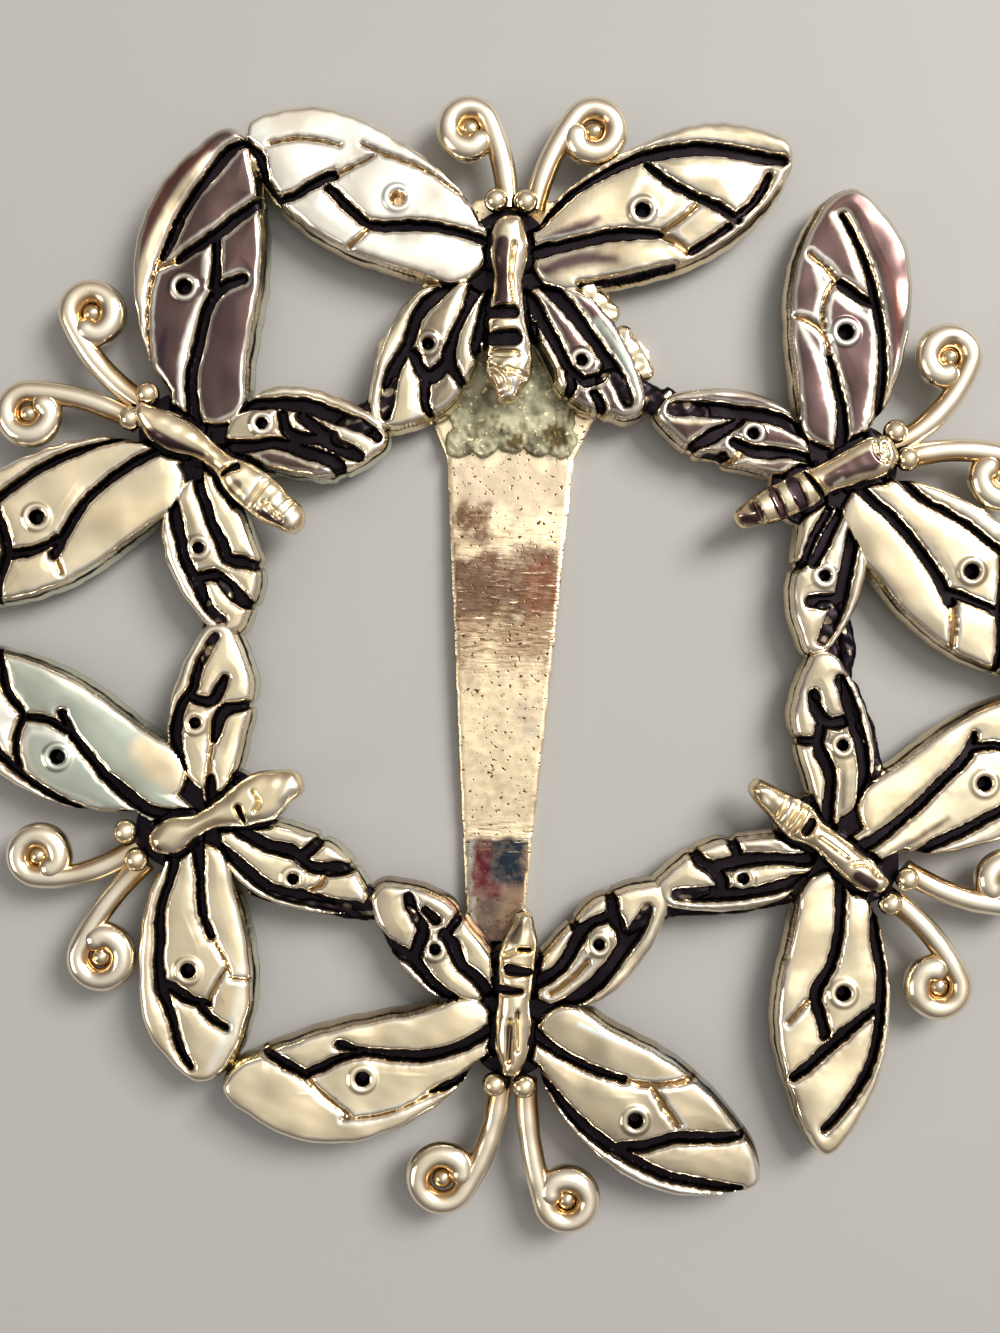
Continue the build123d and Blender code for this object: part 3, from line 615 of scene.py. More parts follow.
def smooth_line(points, closed, pieces=12):
    """A cubic spline through the points, by chord length, as short straight pieces."""
    p = np.array(points, float)
    if closed:
        p = np.vstack((p, p[:1]))
    h = np.linalg.norm(np.diff(p[:, :2], axis=0), axis=1)
    slope = np.diff(p, axis=0) / h[:, None]
    n = len(p)
    a, b = np.zeros((n, n)), np.zeros(p.shape)
    for i in range(1, n - 1):
        a[i, i - 1:i + 2] = h[i - 1], 2 * (h[i - 1] + h[i]), h[i]
        b[i] = 6 * (slope[i] - slope[i - 1])
    if closed:
        a[0, 0], a[0, 1], a[0, n - 2], a[0, n - 1] = 2 * h[0], h[0], h[-1], 2 * h[-1]
        b[0] = 6 * (slope[0] - slope[-1])
        a[n - 1, 0], a[n - 1, n - 1] = 1, -1
    else:
        a[0, 0] = a[n - 1, n - 1] = 1
    m = np.linalg.solve(a, b)
    t = np.linspace(0, 1, pieces, endpoint=False)[:, None]
    s = 1 - t
    out = [
        s * p[i] + t * p[i + 1] + h[i] ** 2 / 6 * ((s**3 - s) * m[i] + (t**3 - t) * m[i + 1])
        for i in range(n - 1)
    ]
    return np.vstack(out if closed else out + [p[-1:]])


def stroke_line(rows, site):
    """A smooth stroke in the butterfly's plane from rows of shares and half widths."""
    return smooth_line([(*rotated(row[:2], site), row[2]) for row in rows], False, 5)


def offsets(points, start, run, reach):
    """In batches, the points near some straight pieces: their numbers, their distances to each
    piece and the shares of it where they are nearest."""
    corners = np.vstack((start, start + run))
    near = ((points > corners.min(0) - reach) & (points < corners.max(0) + reach)).all(1).nonzero()[0]
    size = np.maximum((run**2).sum(1), 1e-12)
    for part in np.array_split(near, max(1, len(near) * len(start) // BATCH)):
        q = points[part][:, None] - start
        t = np.clip((q * run).sum(2) / size, 0, 1)
        yield part, np.sqrt(((q - t[..., None] * run) ** 2).sum(2)), t


def outline_depth(points, line, reach=1.2):
    """How deep each point lies inside a closed line, negative outside it."""
    after = np.roll(line, -1, axis=0)
    run = after - line
    depth = np.full(len(points), -FAR)
    for part, away, t in offsets(points, line, run, reach):
        x, y = points[part, :1], points[part, 1:]
        crossing = (line[:, 1] <= y) != (after[:, 1] <= y)
        rise = np.where(run[:, 1] == 0, 1, run[:, 1])
        cut = line[:, 0] + (y - line[:, 1]) / rise * run[:, 0]
        inside = (crossing & (x < cut)).sum(1) % 2 == 1
        depth[part] = np.where(inside, 1, -1) * away.min(1)
    return depth


def stroke_gap(points, line, reach=0.9):
    """Distance from each point to the edge of a stroke, whose line has half widths as its third
    column. It is negative on the stroke."""
    gap = np.full(len(points), FAR)
    run = np.diff(line, axis=0)
    for part, away, t in offsets(points, line[:-1, :2], run[:, :2], reach):
        gap[part] = (away - line[:-1, 2] - t * run[:, 2]).min(1)
    return gap


def quarter(t):
    """A quarter circle that rises from 0 at 0 to 1 at 1 and stays there."""
    return np.sqrt(1 - (1 - np.clip(t, 0, 1)) ** 2)


def smooth(t):
    """A soft step from 0 at 0 to 1 at 1."""
    t = np.clip(t, 0, 1)
    return t * t * (3 - 2 * t)


def laid(base, colour, share):
    """Colours with another laid over them by a share."""
    share = np.asarray(share)[..., None]
    return base * (1 - share) + np.array(colour) * share


def waves(x, y, size, seed, count=9):
    """A soft uneven field between about -1 and 1, with features of the given size."""
    r = np.random.default_rng(seed)
    total = np.zeros_like(x)
    for i in range(count):
        turn, phase = r.uniform(0, math.tau, 2)
        pace = math.tau / (size * r.uniform(0.7, 1.9))
        total += np.sin((x * math.cos(turn) + y * math.sin(turn)) * pace + phase)
    return total / math.sqrt(count)


def flood(mask, row, column):
    """The part of a mask that hangs together with one cell, found by runs of rows and columns."""
    got = np.zeros_like(mask)
    got[row, column] = mask[row, column]
    before = -1
    while got.sum() != before:
        before = got.sum()
        for _ in range(2):
            flat = mask.ravel()
            run = np.cumsum(np.concatenate(([0], flat[1:] != flat[:-1])))
            hit = np.bincount(run, got.ravel()) > 0
            got = (hit[run] & flat).reshape(mask.shape)
            got, mask = np.ascontiguousarray(got.T), np.ascontiguousarray(mask.T)
    return got


class Plan:
    """A rectangular grid of points over a piece's plan, in the piece's own millimetres."""

    def __init__(self, line, margin, step):
        (left, low), (right, high) = line[:, :2].min(0) - margin, line[:, :2].max(0) + margin
        self.x = np.arange(left, right + step, step)
        self.y = np.arange(low, high + step, step)
        self.step = step
        self.shape = (len(self.y), len(self.x))
        self.gx, self.gy = np.meshgrid(self.x, self.y)
        self.points = np.column_stack((self.gx.ravel(), self.gy.ravel()))

    def waves(self, size, seed, count=9):
        return waves(self.gx, self.gy, size, seed, count)

    def depth(self, outline):
        return outline_depth(self.points, outline).reshape(self.shape)

    def gap(self, line, reach=0.9):
        return stroke_gap(self.points, line, reach).reshape(self.shape)

    def away(self, point):
        return np.hypot(self.gx - point[0], self.gy - point[1])

    def toned(self, colour):
        return np.zeros(self.shape + (3,)) + colour

    def cell(self, point):
        """Row and column of the grid's point nearest a place."""
        return (
            int(round((point[1] - self.y[0]) / self.step)),
            int(round((point[0] - self.x[0]) / self.step)),
        )

    def read(self, field, points):
        """A field's value at free points, between the grid's points."""
        fx = np.clip((points[:, 0] - self.x[0]) / self.step, 0, self.shape[1] - 1.001)
        fy = np.clip((points[:, 1] - self.y[0]) / self.step, 0, self.shape[0] - 1.001)
        i, j = fy.astype(int), fx.astype(int)
        u, v = fx - j, fy - i
        if field.ndim == 3:
            u, v = u[:, None], v[:, None]
        return (
            field[i, j] * (1 - u) * (1 - v) + field[i, j + 1] * u * (1 - v)
            + field[i + 1, j] * (1 - u) * v + field[i + 1, j + 1] * u * v
        )


def crossings(plan, field, sign, axis, count):
    """The places where the edge crosses the grid's lines along an axis, and their numbers."""
    first, last = (slice(None, -1), slice(1, None))
    here = (slice(None), first) if axis else (first,)
    after = (slice(None), last) if axis else (last,)
    cut = sign[here] != sign[after]
    number = np.full(cut.shape, -1)
    number[cut] = count + np.arange(cut.sum())
    share = (field[here] / (field[here] - field[after] + 1e-30))[cut] * plan.step
    x, y = plan.gx[here][cut], plan.gy[here][cut]
    return number, np.column_stack((x + share, y) if axis else (x, y + share))


def trimmed(plan, inside):
    """Faces of the grid inside a signed field, cut along its edge. Returns the points, the faces
    and the edge's directed segments."""
    least = 0.12 * plan.step
    field = np.where(np.abs(inside) < least, np.where(inside < 0, -least, least), inside)
    sign = field > 0
    index = np.full(plan.shape, -1)
    index[sign] = np.arange(sign.sum())
    points = np.column_stack((plan.gx[sign], plan.gy[sign]))
    level, level_points = crossings(plan, field, sign, 1, len(points))
    upright, upright_points = crossings(plan, field, sign, 0, len(points) + len(level_points))
    code = sign[:-1, :-1] * 1 + sign[:-1, 1:] * 2 + sign[1:, 1:] * 4 + sign[1:, :-1] * 8
    corner = (index[:-1, :-1], index[:-1, 1:], index[1:, 1:], index[1:, :-1])
    side = (level[:-1], upright[:, 1:], level[1:], upright[:, :-1])
    faces, edge = [], []
    for number in range(1, 16):
        here = code == number
        if not here.any():
            continue
        corners = [c[here] for c in corner]
        sides = [s[here] for s in side]
        bits = [(number >> k) & 1 for k in range(4)]
        if number in (5, 10):
            # Two opposite corners, each a triangle of its own
            for k in range(4):
                if bits[k]:
                    faces.append(np.column_stack((corners[k], sides[k], sides[k - 1])))
                    edge.append(np.column_stack((sides[k], sides[k - 1])))
            continue
        loop, leaving, coming = [], None, None
        for k in range(4):
            if bits[k]:
                loop.append(corners[k])
            if bits[k] != bits[(k + 1) % 4]:
                loop.append(sides[k])
                leaving, coming = (sides[k], coming) if bits[k] else (leaving, sides[k])
        faces.append(np.column_stack(loop))
        if number != 15:
            edge.append(np.column_stack((leaving, coming)))
    return np.vstack((points, level_points, upright_points)), faces, np.vstack(edge)


def loops_of(edge):
    """The edge's segments as closed chains of point numbers."""
    following = dict(edge.tolist())
    loops = []
    while following:
        start, here = following.popitem()
        loop = [start]
        while here != start:
            loop.append(here)
            here = following.pop(here)
        loops.append(loop)
    return sorted(loops, key=len, reverse=True)


class Body:
    """Points, faces, tone and age of a piece under construction."""

    def __init__(self):
        self.points, self.faces, self.tones, self.ages_and_reflections = [], [], [], []
        self.count = 0

    def add(self, points, faces, tones, ages_and_reflections):
        self.faces += [np.asarray(face) + self.count for face in faces]
        self.points.append(points)
        self.tones.append(tones)
        self.ages_and_reflections.append(ages_and_reflections)
        self.count += len(points)

    def mesh(self, name, origin=(0, 0), heading=90.0, lift=0.0):
        """The mesh object, moved from the piece's plane into the brooch's frame."""
        p = np.vstack(self.points)
        world = np.column_stack((framed(p[:, :2], heading, origin), p[:, 2] + lift)) * MM
        mesh = bpy.data.meshes.new(name)
        sizes = np.concatenate([np.full(len(f), f.shape[1]) if f.ndim == 2 else [len(f)] for f in self.faces])
        corners = np.concatenate([f.ravel() for f in self.faces])
        mesh.vertices.add(len(world))
        mesh.vertices.foreach_set("co", world.astype(np.float32).ravel())
        mesh.loops.add(len(corners))
        mesh.loops.foreach_set("vertex_index", corners.astype(np.int32))
        mesh.polygons.add(len(sizes))
        starts = np.concatenate(([0], np.cumsum(sizes)[:-1]))
        mesh.polygons.foreach_set("loop_start", starts.astype(np.int32))
        mesh.update(calc_edges=True)
        mesh.validate()
        # A plate's flat back is one face of many corners, plated though the edge round it is black
        back = np.repeat(sizes > BACK_CORNERS, sizes)
        tones = np.where(back[:, None], BACK_TONE, np.vstack(self.tones)[corners])
        tones = np.column_stack((tones, np.ones(len(corners)))).astype(np.float32)
        ages_and_reflections = np.where(back, BACK_AGE, np.concatenate(self.ages_and_reflections)[corners]).astype(np.float32)
        mesh.color_attributes.new("tone", "FLOAT_COLOR", "CORNER").data.foreach_set("color", tones.ravel())
        # Blackening, and on the blade how far tarnish and painted reflections cover it
        mesh.attributes.new("age_and_reflection", "FLOAT", "CORNER").data.foreach_set("value", ages_and_reflections)
        mesh.shade_smooth()
        mesh.set_sharp_from_angle(angle=math.radians(50))
        piece = bpy.data.objects.new(name, mesh)
        bpy.context.scene.collection.objects.link(piece)
        return piece


# How far down a wall, how much of its lean is reached, and how black it is there
WALL_LEVELS = [(0.10, 0.3, 0.6), (0.30, 0.6, 0.15), (0.64, 0.9, 0.0), (0.92, 1.0, 0.35), (1.0, 0.85, 0.9)]
# How far the wings' walls lean out, and how much of the tone set for a wall covers the top's
WALL_LEAN = 0.3
WALL_SHARE = 0.7


def averaged(values, loops, reach=5):
    """Values along closed chains of points, each the mean of its neighbours'."""
    out = values.copy()
    shifts = range(-reach, reach + 1)
    for loop in loops:
        if len(loop) > 2 * reach:
            out[loop] = sum(np.roll(values[loop], k, axis=0) for k in shifts) / len(shifts)
    return out


def leaning(plan, inside, rim, chains, lean_out):
    """How far the walls lean out at the rim's points. They lean towards the wreath's middle, and
    less where another wall is near."""
    gy, gx = np.gradient(inside, plan.step)
    normal = averaged(-np.column_stack((plan.read(gx, rim), plan.read(gy, rim))), chains)
    normal /= np.maximum(np.linalg.norm(normal, axis=1, keepdims=True), 1e-6)
    lean = lean_out * smooth(0.25 - 0.9 * normal[:, 1])
    tried = plan.read(inside, rim + normal * lean[:, None])
    lean *= np.clip(-tried / np.maximum(lean, 1e-6), 0, 1)
    return normal * averaged(lean, chains)[:, None]


def slab(body, plan, inside, height, tone, age_and_reflection, seed, wall, lean_out=0.0, under=None, soot=1.0):
    """Adds a raised plate over a signed field, with walls that may lean out and a flat back. A
    bent plate has the height of its underside in under."""
    points, faces, edge = trimmed(plan, inside)
    z, tones, ages_and_reflections = (plan.read(field, points) for field in (height, tone, age_and_reflection))
    low = np.zeros(len(points)) if under is None else plan.read(under, points)
    rim = np.unique(edge)
    slot = np.full(len(points), -1)
    slot[rim] = np.arange(len(rim))
    chains = [slot[loop] for loop in loops_of(edge)]
    lean = leaning(plan, inside, points[rim], chains, lean_out)
    layers, all_tones, all_ages_and_reflections, walls = [np.column_stack((points, z))], [tones], [ages_and_reflections], []
    above, base = edge.T, len(points)
    for down, out, black in WALL_LEVELS:
        ring = points[rim] + lean * out
        layers.append(np.column_stack((ring, z[rim] + (low[rim] - z[rim]) * down)))
        all_tones.append(laid(tones[rim], wall, WALL_SHARE))
        all_ages_and_reflections.append(np.clip(black + 0.12 * waves(*ring.T, 2.4, seed + 9), 0, 1) * soot)
        below = base + slot[edge.T]
        walls.append(np.column_stack((above[0], below[0], below[1], above[1])))
        above, last, base = below, base, base + len(rim)
    if under is None:
        backs = [last + chain[::-1] for chain in chains]
    else:
        # A bent plate's underside follows its top
        free = np.setdiff1d(np.arange(len(points)), rim)
        keep = last + slot
        keep[free] = base + np.arange(len(free))
        layers.append(np.column_stack((points[free], low[free])))
        all_tones.append(tones[free])
        all_ages_and_reflections.append(ages_and_reflections[free])
        backs = [keep[face][:, ::-1] for face in faces]
    body.add(np.vstack(layers), faces + walls + backs, np.vstack(all_tones), np.concatenate(all_ages_and_reflections))


def cut_grooves(plan, site, edge, ragged):
    """A wing's grooves: its edge with the notches they make, how deep they cut, the distances to
    the deep ones and to all, and how brown the shallow ones are."""
    gap, line_gap = np.full(plan.shape, FAR), np.full(plan.shape, FAR)
    drop, brown = np.zeros(plan.shape), np.zeros(plan.shape)
    hind = site.pattern is HINDWING
    for lines, depth in ((site.detail.deep, DEEP), (site.detail.shallow, SHALLOW)):
        for text in lines:
            rows = stroke(text)
            along, across, half_width = rows[-1]
            runs_out = hind and depth == DEEP and across < -0.25
            if runs_out:
                rows.append((along + 0.02, across - 0.14, half_width))
            along, across, half_width = rows[0]
            if along < 0.05 and depth == DEEP:
                rows.insert(0, (along - 0.10, 0.8 * across, 0.7 * half_width))
            away = plan.gap(stroke_line(rows, site)) + ragged - 0.05 * hind
            if runs_out:
                edge = edge - 0.3 * smooth((0.22 - away) / 0.4) * smooth((0.6 - edge) / 0.5)
            drop = np.maximum(drop, depth * (1 - quarter(away / GROOVE_WALL)))
            line_gap = np.minimum(line_gap, away)
            if depth == DEEP:
                gap = np.minimum(gap, away)
            else:
                brown = np.maximum(brown, smooth((0.08 - away) / 0.12))
    return edge, drop, gap, line_gap, brown


def cell_tones_and_reflections(plan, site, walled, ragged):
    """The tones of a wing's cells, each flooded from its seed: painted reflections of the light each cell
    catches, with strokes of painted highlight and reflection over them.
    """
    cells = plan.toned(TONES_AND_REFLECTIONS["c"])
    taken = np.zeros(plan.shape, bool)
    # Each cell's tone is a painted reflection: pale cells carry painted highlight, mauve ones painted dark
    # reflection
    for letter, share in zip(site.detail.tones, site.pattern.seeds):
        cell = flood(walled, *plan.cell(rotated(share, site))) & ~taken
        cells[cell] = TONES_AND_REFLECTIONS[letter]
        taken |= cell
    # Strokes of painted highlight and painted reflection
    for text in site.detail.streaks:
        rows = stroke(text[1:])
        away = plan.gap(stroke_line(rows, site)) + ragged
        soft = 0.35 + 0.6 * max(row[2] for row in rows)
        cells = laid(cells, TONES_AND_REFLECTIONS[text[0]], smooth((0.4 * soft - away) / soft))
    return cells


def painted_rim_highlight(gap):
    """A painted highlight: the bright edge of the plate along a groove or a hole."""
    return smooth((0.44 - gap) / 0.2) * smooth(gap / 0.1)


def cut_wing(plan, site, edge, recess, ragged, wobble):
    """One wing's edge, height, tone and blackening over the whole plan."""
    edge, drop, gap, line_gap, brown = cut_grooves(plan, site, edge, ragged)
    drop = np.maximum(drop, RECESS_DROP * (1 - quarter(recess / RECESS_WALL)))
    gap = np.minimum(gap, recess)
    hole = plan.away(rotated(site.detail.dot[:2], site)) - DOT_SHARE * site.pattern.dot_radius
    ring = smooth((DOT_RING_WIDTH - np.abs(hole - DOT_RING_PLACE)) / DOT_RING_WIDTH)
    height = WING_THICKNESS - PLATE_DROP - drop - EDGE_DROP * (1 - quarter(edge / EDGE_WIDTH)) + wobble
    height += CROWN_RISE * quarter(np.minimum(gap, edge) / CROWN_WIDTH)
    height += DOT_RING_RISE * ring * (gap > 0)
    height -= DOT_DROP * smooth(-hole / DOT_WALL)
    height = np.clip(height, THINNEST_PLATE, WING_THICKNESS - 0.01)

    # Each cell's tone, a painted reflection, and its streaks of painted highlight and reflection, then
    # painted highlights along its borders, then the brown of the grooves
    tone = cell_tones_and_reflections(plan, site, (np.minimum(gap, 0.06 - brown * 0.1) > 0) & (edge > 0), ragged)
    rim_highlight = 0.75 * painted_rim_highlight(np.minimum(np.minimum(edge, line_gap), recess))
    dot_highlight = (0.75 if "m" in site.detail.tones else 0.2) * painted_rim_highlight(hole)
    tone = laid(tone, TONES_AND_REFLECTIONS["w"], np.maximum(rim_highlight, dot_highlight))
    tone = laid(tone, GROOVE_BROWN, np.maximum(brown, 0.45 * smooth((0.24 - gap) / 0.16)))
    soot = site.detail.dot[2] if len(site.detail.dot) > 2 else 1.0
    black = np.maximum(smooth((0.09 - gap) / 0.08), soot * smooth((0.04 - hole) / 0.08))
    return edge, height, tone, black


def relief(body, bug, seed):
    """The four wings and the floor round the body, as one raised plate in the bug's plane."""
    sites = wings_of(bug)
    outlines = [smooth_line([rotated(s, site) for s in site.pattern.outline], True) for site in sites]
    plan = Plan(np.vstack(outlines), WING_MARGIN, GRID)
    wobble = 0.05 * plan.waves(3.6, seed, 12) + 0.004 * plan.waves(1.2, seed + 1)
    ragged = 0.022 * plan.waves(0.8, seed + 3) + 0.010 * plan.waves(0.32, seed + 4)
    worn_in = 0.03 * (1 + np.clip(plan.waves(1.3, seed + 6), -1, 1))

    # The floor round the body, and the recess that follows the body's outline
    inside = RECESS_REACH - np.hypot(plan.gx - bug.shift, np.maximum(0, np.abs(plan.gy - 1.0) - 1.3))
    recess = 2 * ragged - plan.depth(trunk_outline(TRUNKS[bug.name])) - 0.25
    height, age_and_reflection = np.full(plan.shape, RECESS_FLOOR), np.ones(plan.shape)
    tone = plan.toned(TONES_AND_REFLECTIONS["o"])
    nearest = np.full(plan.shape, -0.3)
    for site, outline in zip(sites, outlines):
        # Each wing has a lobe at its root, so that it reaches the body
        root = (*rotated((0.10, 0.0), site), 0.19 * site.pattern.width)
        lobe = np.array([root, (bug.shift, 0.7 * site.pattern.root[1], 1.0)])
        edge = np.maximum(plan.depth(outline) - worn_in, -plan.gap(lobe, 2.0))
        edge, wing_height, wing_tone, black = cut_wing(plan, site, edge, recess, ragged, wobble)
        better = (edge > nearest) & ((edge > 0) | (edge > inside))
        nearest, inside = np.maximum(nearest, edge), np.maximum(inside, edge)
        height = np.where(better, wing_height, height)
        tone = np.where(better[..., None], wing_tone, tone)
        age_and_reflection = np.where(better, black, age_and_reflection)
    sunk = recess < 0
    age_and_reflection = np.where(sunk, 1.0, age_and_reflection)
    height = np.where(sunk, np.minimum(height, RECESS_FLOOR + 2 * ragged), height)
    tone = np.clip(tone * (1 + 0.10 * plan.waves(2.6, seed + 5)[..., None]), 0, 1)
    # The walls take the butterfly's wall tone, a painted reflection
    slab(body, plan, inside, height, tone, age_and_reflection, seed, TONES_AND_REFLECTIONS[bug.wall], WALL_LEAN)


def trunk_outline(form):
    """A body's outline, whose ends are blunt."""
    rows = stroke(form.sides)
    ends = []
    for tip, (y, left, right) in ((form.head, rows[0]), (form.tail, rows[-1])):
        half = 0.33 * (right - left)
        ends.append((tip[1] + 0.2 * (y - tip[1]), tip[0] - half, tip[0] + half))
    rows = [ends[0]] + rows + [ends[1]]
    left = [(row[1], row[0]) for row in rows]
    right = [(row[2], row[0]) for row in rows]
    return smooth_line([form.head] + right + [form.tail] + left[::-1], True, 6)


def trunk(body, bug, seed):
    """A body, rounded above and below, with its slots and folds, and strokes of painted highlight and
    reflection over its tone.
    """
    form = TRUNKS[bug.name]
    outline = trunk_outline(form)
    plan = Plan(outline, 0.3, GRID)
    edge = plan.depth(outline) + 0.015 * plan.waves(0.9, seed)
    tail = smooth((TAIL_Y - plan.gy) / 1.2)
    rough = (0.012 + 0.045 * tail) * plan.waves(0.9, seed + 1)
    drop, black = np.zeros(plan.shape), smooth((0.10 - edge) / 0.10) * (1 - 0.8 * tail)
    for lines, depth in ((form.slots, SLOT_DEPTH), (form.folds, FOLD_DEPTH)):
        for text in lines:
            away = plan.gap(smooth_line(stroke(text), False, 5))
            drop = np.maximum(drop, depth * (1 - quarter(away / SLOT_WALL)))
            if depth == SLOT_DEPTH:
                black = np.maximum(black, smooth((0.06 - away) / 0.08))
    dome = quarter(edge / BODY_DOME_WIDTH)
    top = BODY_AXIS_HEIGHT + BODY_EDGE + (BODY_RADIUS - 0.26) * dome - drop * dome
    top += np.minimum(rough, 0.05)
    under = BODY_AXIS_HEIGHT - BODY_EDGE - 0.7 * dome
    top = np.clip(top, under + 0.1, BODY_AXIS_HEIGHT + BODY_RADIUS - 0.01)
    tone = plan.toned(TONES_AND_REFLECTIONS["c"])
    # Strokes of painted highlight and painted reflection along the body
    for text in form.streaks:
        away = plan.gap(smooth_line(stroke(text[1:]), False, 5))
        tone = laid(tone, TONES_AND_REFLECTIONS[text[0]], smooth((0.1 - away) / 0.22))
    slab(body, plan, edge, top, tone, black, seed, TONES_AND_REFLECTIONS["g"], under=under)


def ring_faces(rows, count, turned_over=False):
    """Quads between rings of points, and a cap at each end."""
    here = np.arange(count)
    after = (here + 1) % count
    quad = np.column_stack((here, after, count + after, count + here))
    faces = [quad + row * count for row in range(rows - 1)]
    faces += [here[::-1], (rows - 1) * count + here]
    return [face[..., ::-1] for face in faces] if turned_over else faces


def ball(body, centre, radius, tone, age_and_reflection=0.0, count=28):
    """A ball with painted shade that darkens it towards its underside, where it also blackens."""
    turn = np.linspace(0, math.pi, count // 2 + 1)[:, None]
    round_it = np.linspace(0, math.tau, count, endpoint=False)
    up = -np.cos(turn) + 0 * round_it
    across = np.maximum(radius * np.sin(turn), 0.003)
    points = np.stack((across * np.cos(round_it), across * np.sin(round_it), radius * up), -1)
    # Painted shade: the tone darkens towards the underside
    tones = np.array(tone) * smooth(up + 0.7)[..., None]
    ages_and_reflections = age_and_reflection + smooth((0.42 - up) / 0.3)
    faces = ring_faces(len(turn), count)
    body.add(points.reshape(-1, 3) + centre, faces, tones.reshape(-1, 3), ages_and_reflections.ravel())


def bearing(turn):
    """A direction in a butterfly's plane, turned from straight ahead towards its right."""
    return np.array((math.sin(turn), math.cos(turn)))


def feeler_line(antenna):
    """An antenna's middle line along its shaft, its curl and the curl's inner end, how far along
    it each point is, and the curl's middle."""
    heading, bend, turn = (math.radians(v) for v in (antenna.lean, antenna.bend, antenna.turn))
    coil = ANTENNA_CURL_RADIUS * antenna.curl
    place = np.array((antenna.base, EYE_Y - 0.3))
    line, along, middles = [place], [0.0], []
    place = place + 0.3 * bearing(heading)
    # Length, turn and pieces of the shaft, of the curl and of its inner end
    runs = ((ANTENNA_SHAFT * antenna.shaft - 0.1, bend, 26), (coil * turn, turn, 44), (0.72 * coil, 1.2, 12))
    for length, angle, pieces in runs:
        middles.append(place + coil * bearing(heading + math.pi / 2))
        for k in range(pieces):
            place = place + length / pieces * bearing(heading + angle * (k + 0.5) / pieces)
            line.append(place)
            along.append(along[-1] + length / pieces)
        heading += angle
    return np.array(line), np.array(along) / along[-1], middles[1]


def feeler_tones(number, centre, turns, stain, seed):
    """A ring's tones: pale, lightened by painted highlight, amber where it starts and inside the curl, with a
    dark streak of painted reflection.
    """
    base = smooth((9 - number) / 7)
    amber = np.clip(0.8 * smooth((np.cos(turns) - 0.25) / 0.5) + 0.6 * base, 0, 1)
    # A painted dark reflection streaked along the wire
    dark = smooth((14 - abs(number - 42)) / 10) * smooth((0.28 - np.abs(np.cos(turns) - 0.30)) / 0.2)
    dark *= stain * smooth(0.5 + waves(centre[0] + 0 * turns, centre[1] + turns, 1.8, seed + 1))
    # Pale, halfway to the highlight tone: painted highlight
    pale = (np.array(TONES_AND_REFLECTIONS["w"]) + TONES_AND_REFLECTIONS["c"]) / 2
    return laid(laid(pale, TONES_AND_REFLECTIONS["a"], amber), TONES_AND_REFLECTIONS["m"], dark)


def feeler(body, bug, side, antenna, seed):
    """A curled antenna: a round wire along its line with a rounded end, and the curl's bead."""
    line, along, middle = feeler_line(antenna)
    ball(body, (side * middle[0], middle[1], ANTENNA_HEIGHT - 0.2), CURL_BEAD_RADIUS, TONES_AND_REFLECTIONS["g"], -0.6, 16)
    tangent = np.gradient(line, axis=0)
    tangent /= np.linalg.norm(tangent, axis=1, keepdims=True)
    radius = ANTENNA_RADIUS * (0.96 + 0.06 * along + 0.19 * smooth((along - 0.6) / 0.4))
    radius *= 1 + 0.03 * waves(*line.T, 2.0, seed)
    rows = list(zip(line, tangent, radius))
    end, way, r = rows[-1]
    for angle in np.arange(1, 7) * math.pi / 12:
        rows.append((end + way * r * math.sin(angle), way, max(r * math.cos(angle), 0.01)))
    turns = np.linspace(0, math.tau, 20, endpoint=False)
    points, tones = [], []
    for number, (centre, way, r) in enumerate(rows, 1):
        ring = centre + np.cos(turns)[:, None] * r * (way[1], -way[0])
        points.append(np.column_stack((side * ring[:, 0], ring[:, 1], ANTENNA_HEIGHT + np.sin(turns) * r)))
        tones.append(feeler_tones(number, centre, turns, bug.stain, seed))
    points = np.vstack(points)
    body.add(points, ring_faces(len(rows), len(turns), side > 0), np.vstack(tones), np.zeros(len(points)))


def butterfly(bug, seed, lift):
    """One butterfly's relief, body, antennae and eyes as one mesh."""
    body = Body()
    relief(body, bug, seed)
    trunk(body, bug, seed + 2)
    for side, antenna in zip(SIDES, bug.antennae):
        feeler(body, bug, side, antenna, seed + side)
        ball(body, (bug.shift + side * EYE_SPACING / 2, EYE_Y, EYE_HEIGHT), EYE_RADIUS, TONES_AND_REFLECTIONS["c"])
    return body.mesh(bug.name, place_of(bug), bug.heading, CASTING_BACK + lift)


def ragged_bar(body, line, kind, soot, seed):
    """A low stroke of rough metal, blackened by soot."""
    plan = Plan(line, kind.margin, kind.grid * GRID)
    edge = kind.edge[0] * plan.waves(kind.edge[1], seed) - plan.gap(line, kind.margin)
    height = kind.thickness - 0.35 * (1 - quarter(edge / kind.rounding))
    height += kind.top[0] * plan.waves(kind.top[1], seed + 50)
    age_and_reflection = np.clip(soot + kind.soot[0] * plan.waves(kind.soot[1], seed + 70), 0, 1)
    slab(body, plan, edge, height, plan.toned(TONES_AND_REFLECTIONS[kind.tone]), age_and_reflection, seed + 80, (0.5, 0.45, 0.35))


def casting_links():
    """The six short bars under neighbouring hindwings' tips and the flash, as one mesh."""
    body = Body()
    for number, (soot, rows) in enumerate(FLASHES):
        ragged_bar(body, smooth_line(rows, False, 6), FLASH, soot, 700 + number)
    for number, bug in enumerate(BUTTERFLIES):
        ends = []
        for owner, hindwing in ((bug, 2), (BUTTERFLIES[number - 1], 3)):
            point = rotated((LINK_START, 0.0), wings_of(owner)[hindwing])
            ends.append((*framed([point], owner.heading, place_of(owner))[0], LINK_WIDTH / 2))
        ragged_bar(body, np.array(ends), LINK, LINK_SOOT, 900 + number)
    return body.mesh("casting_links", lift=CASTING_BACK + LINK_LIFT)


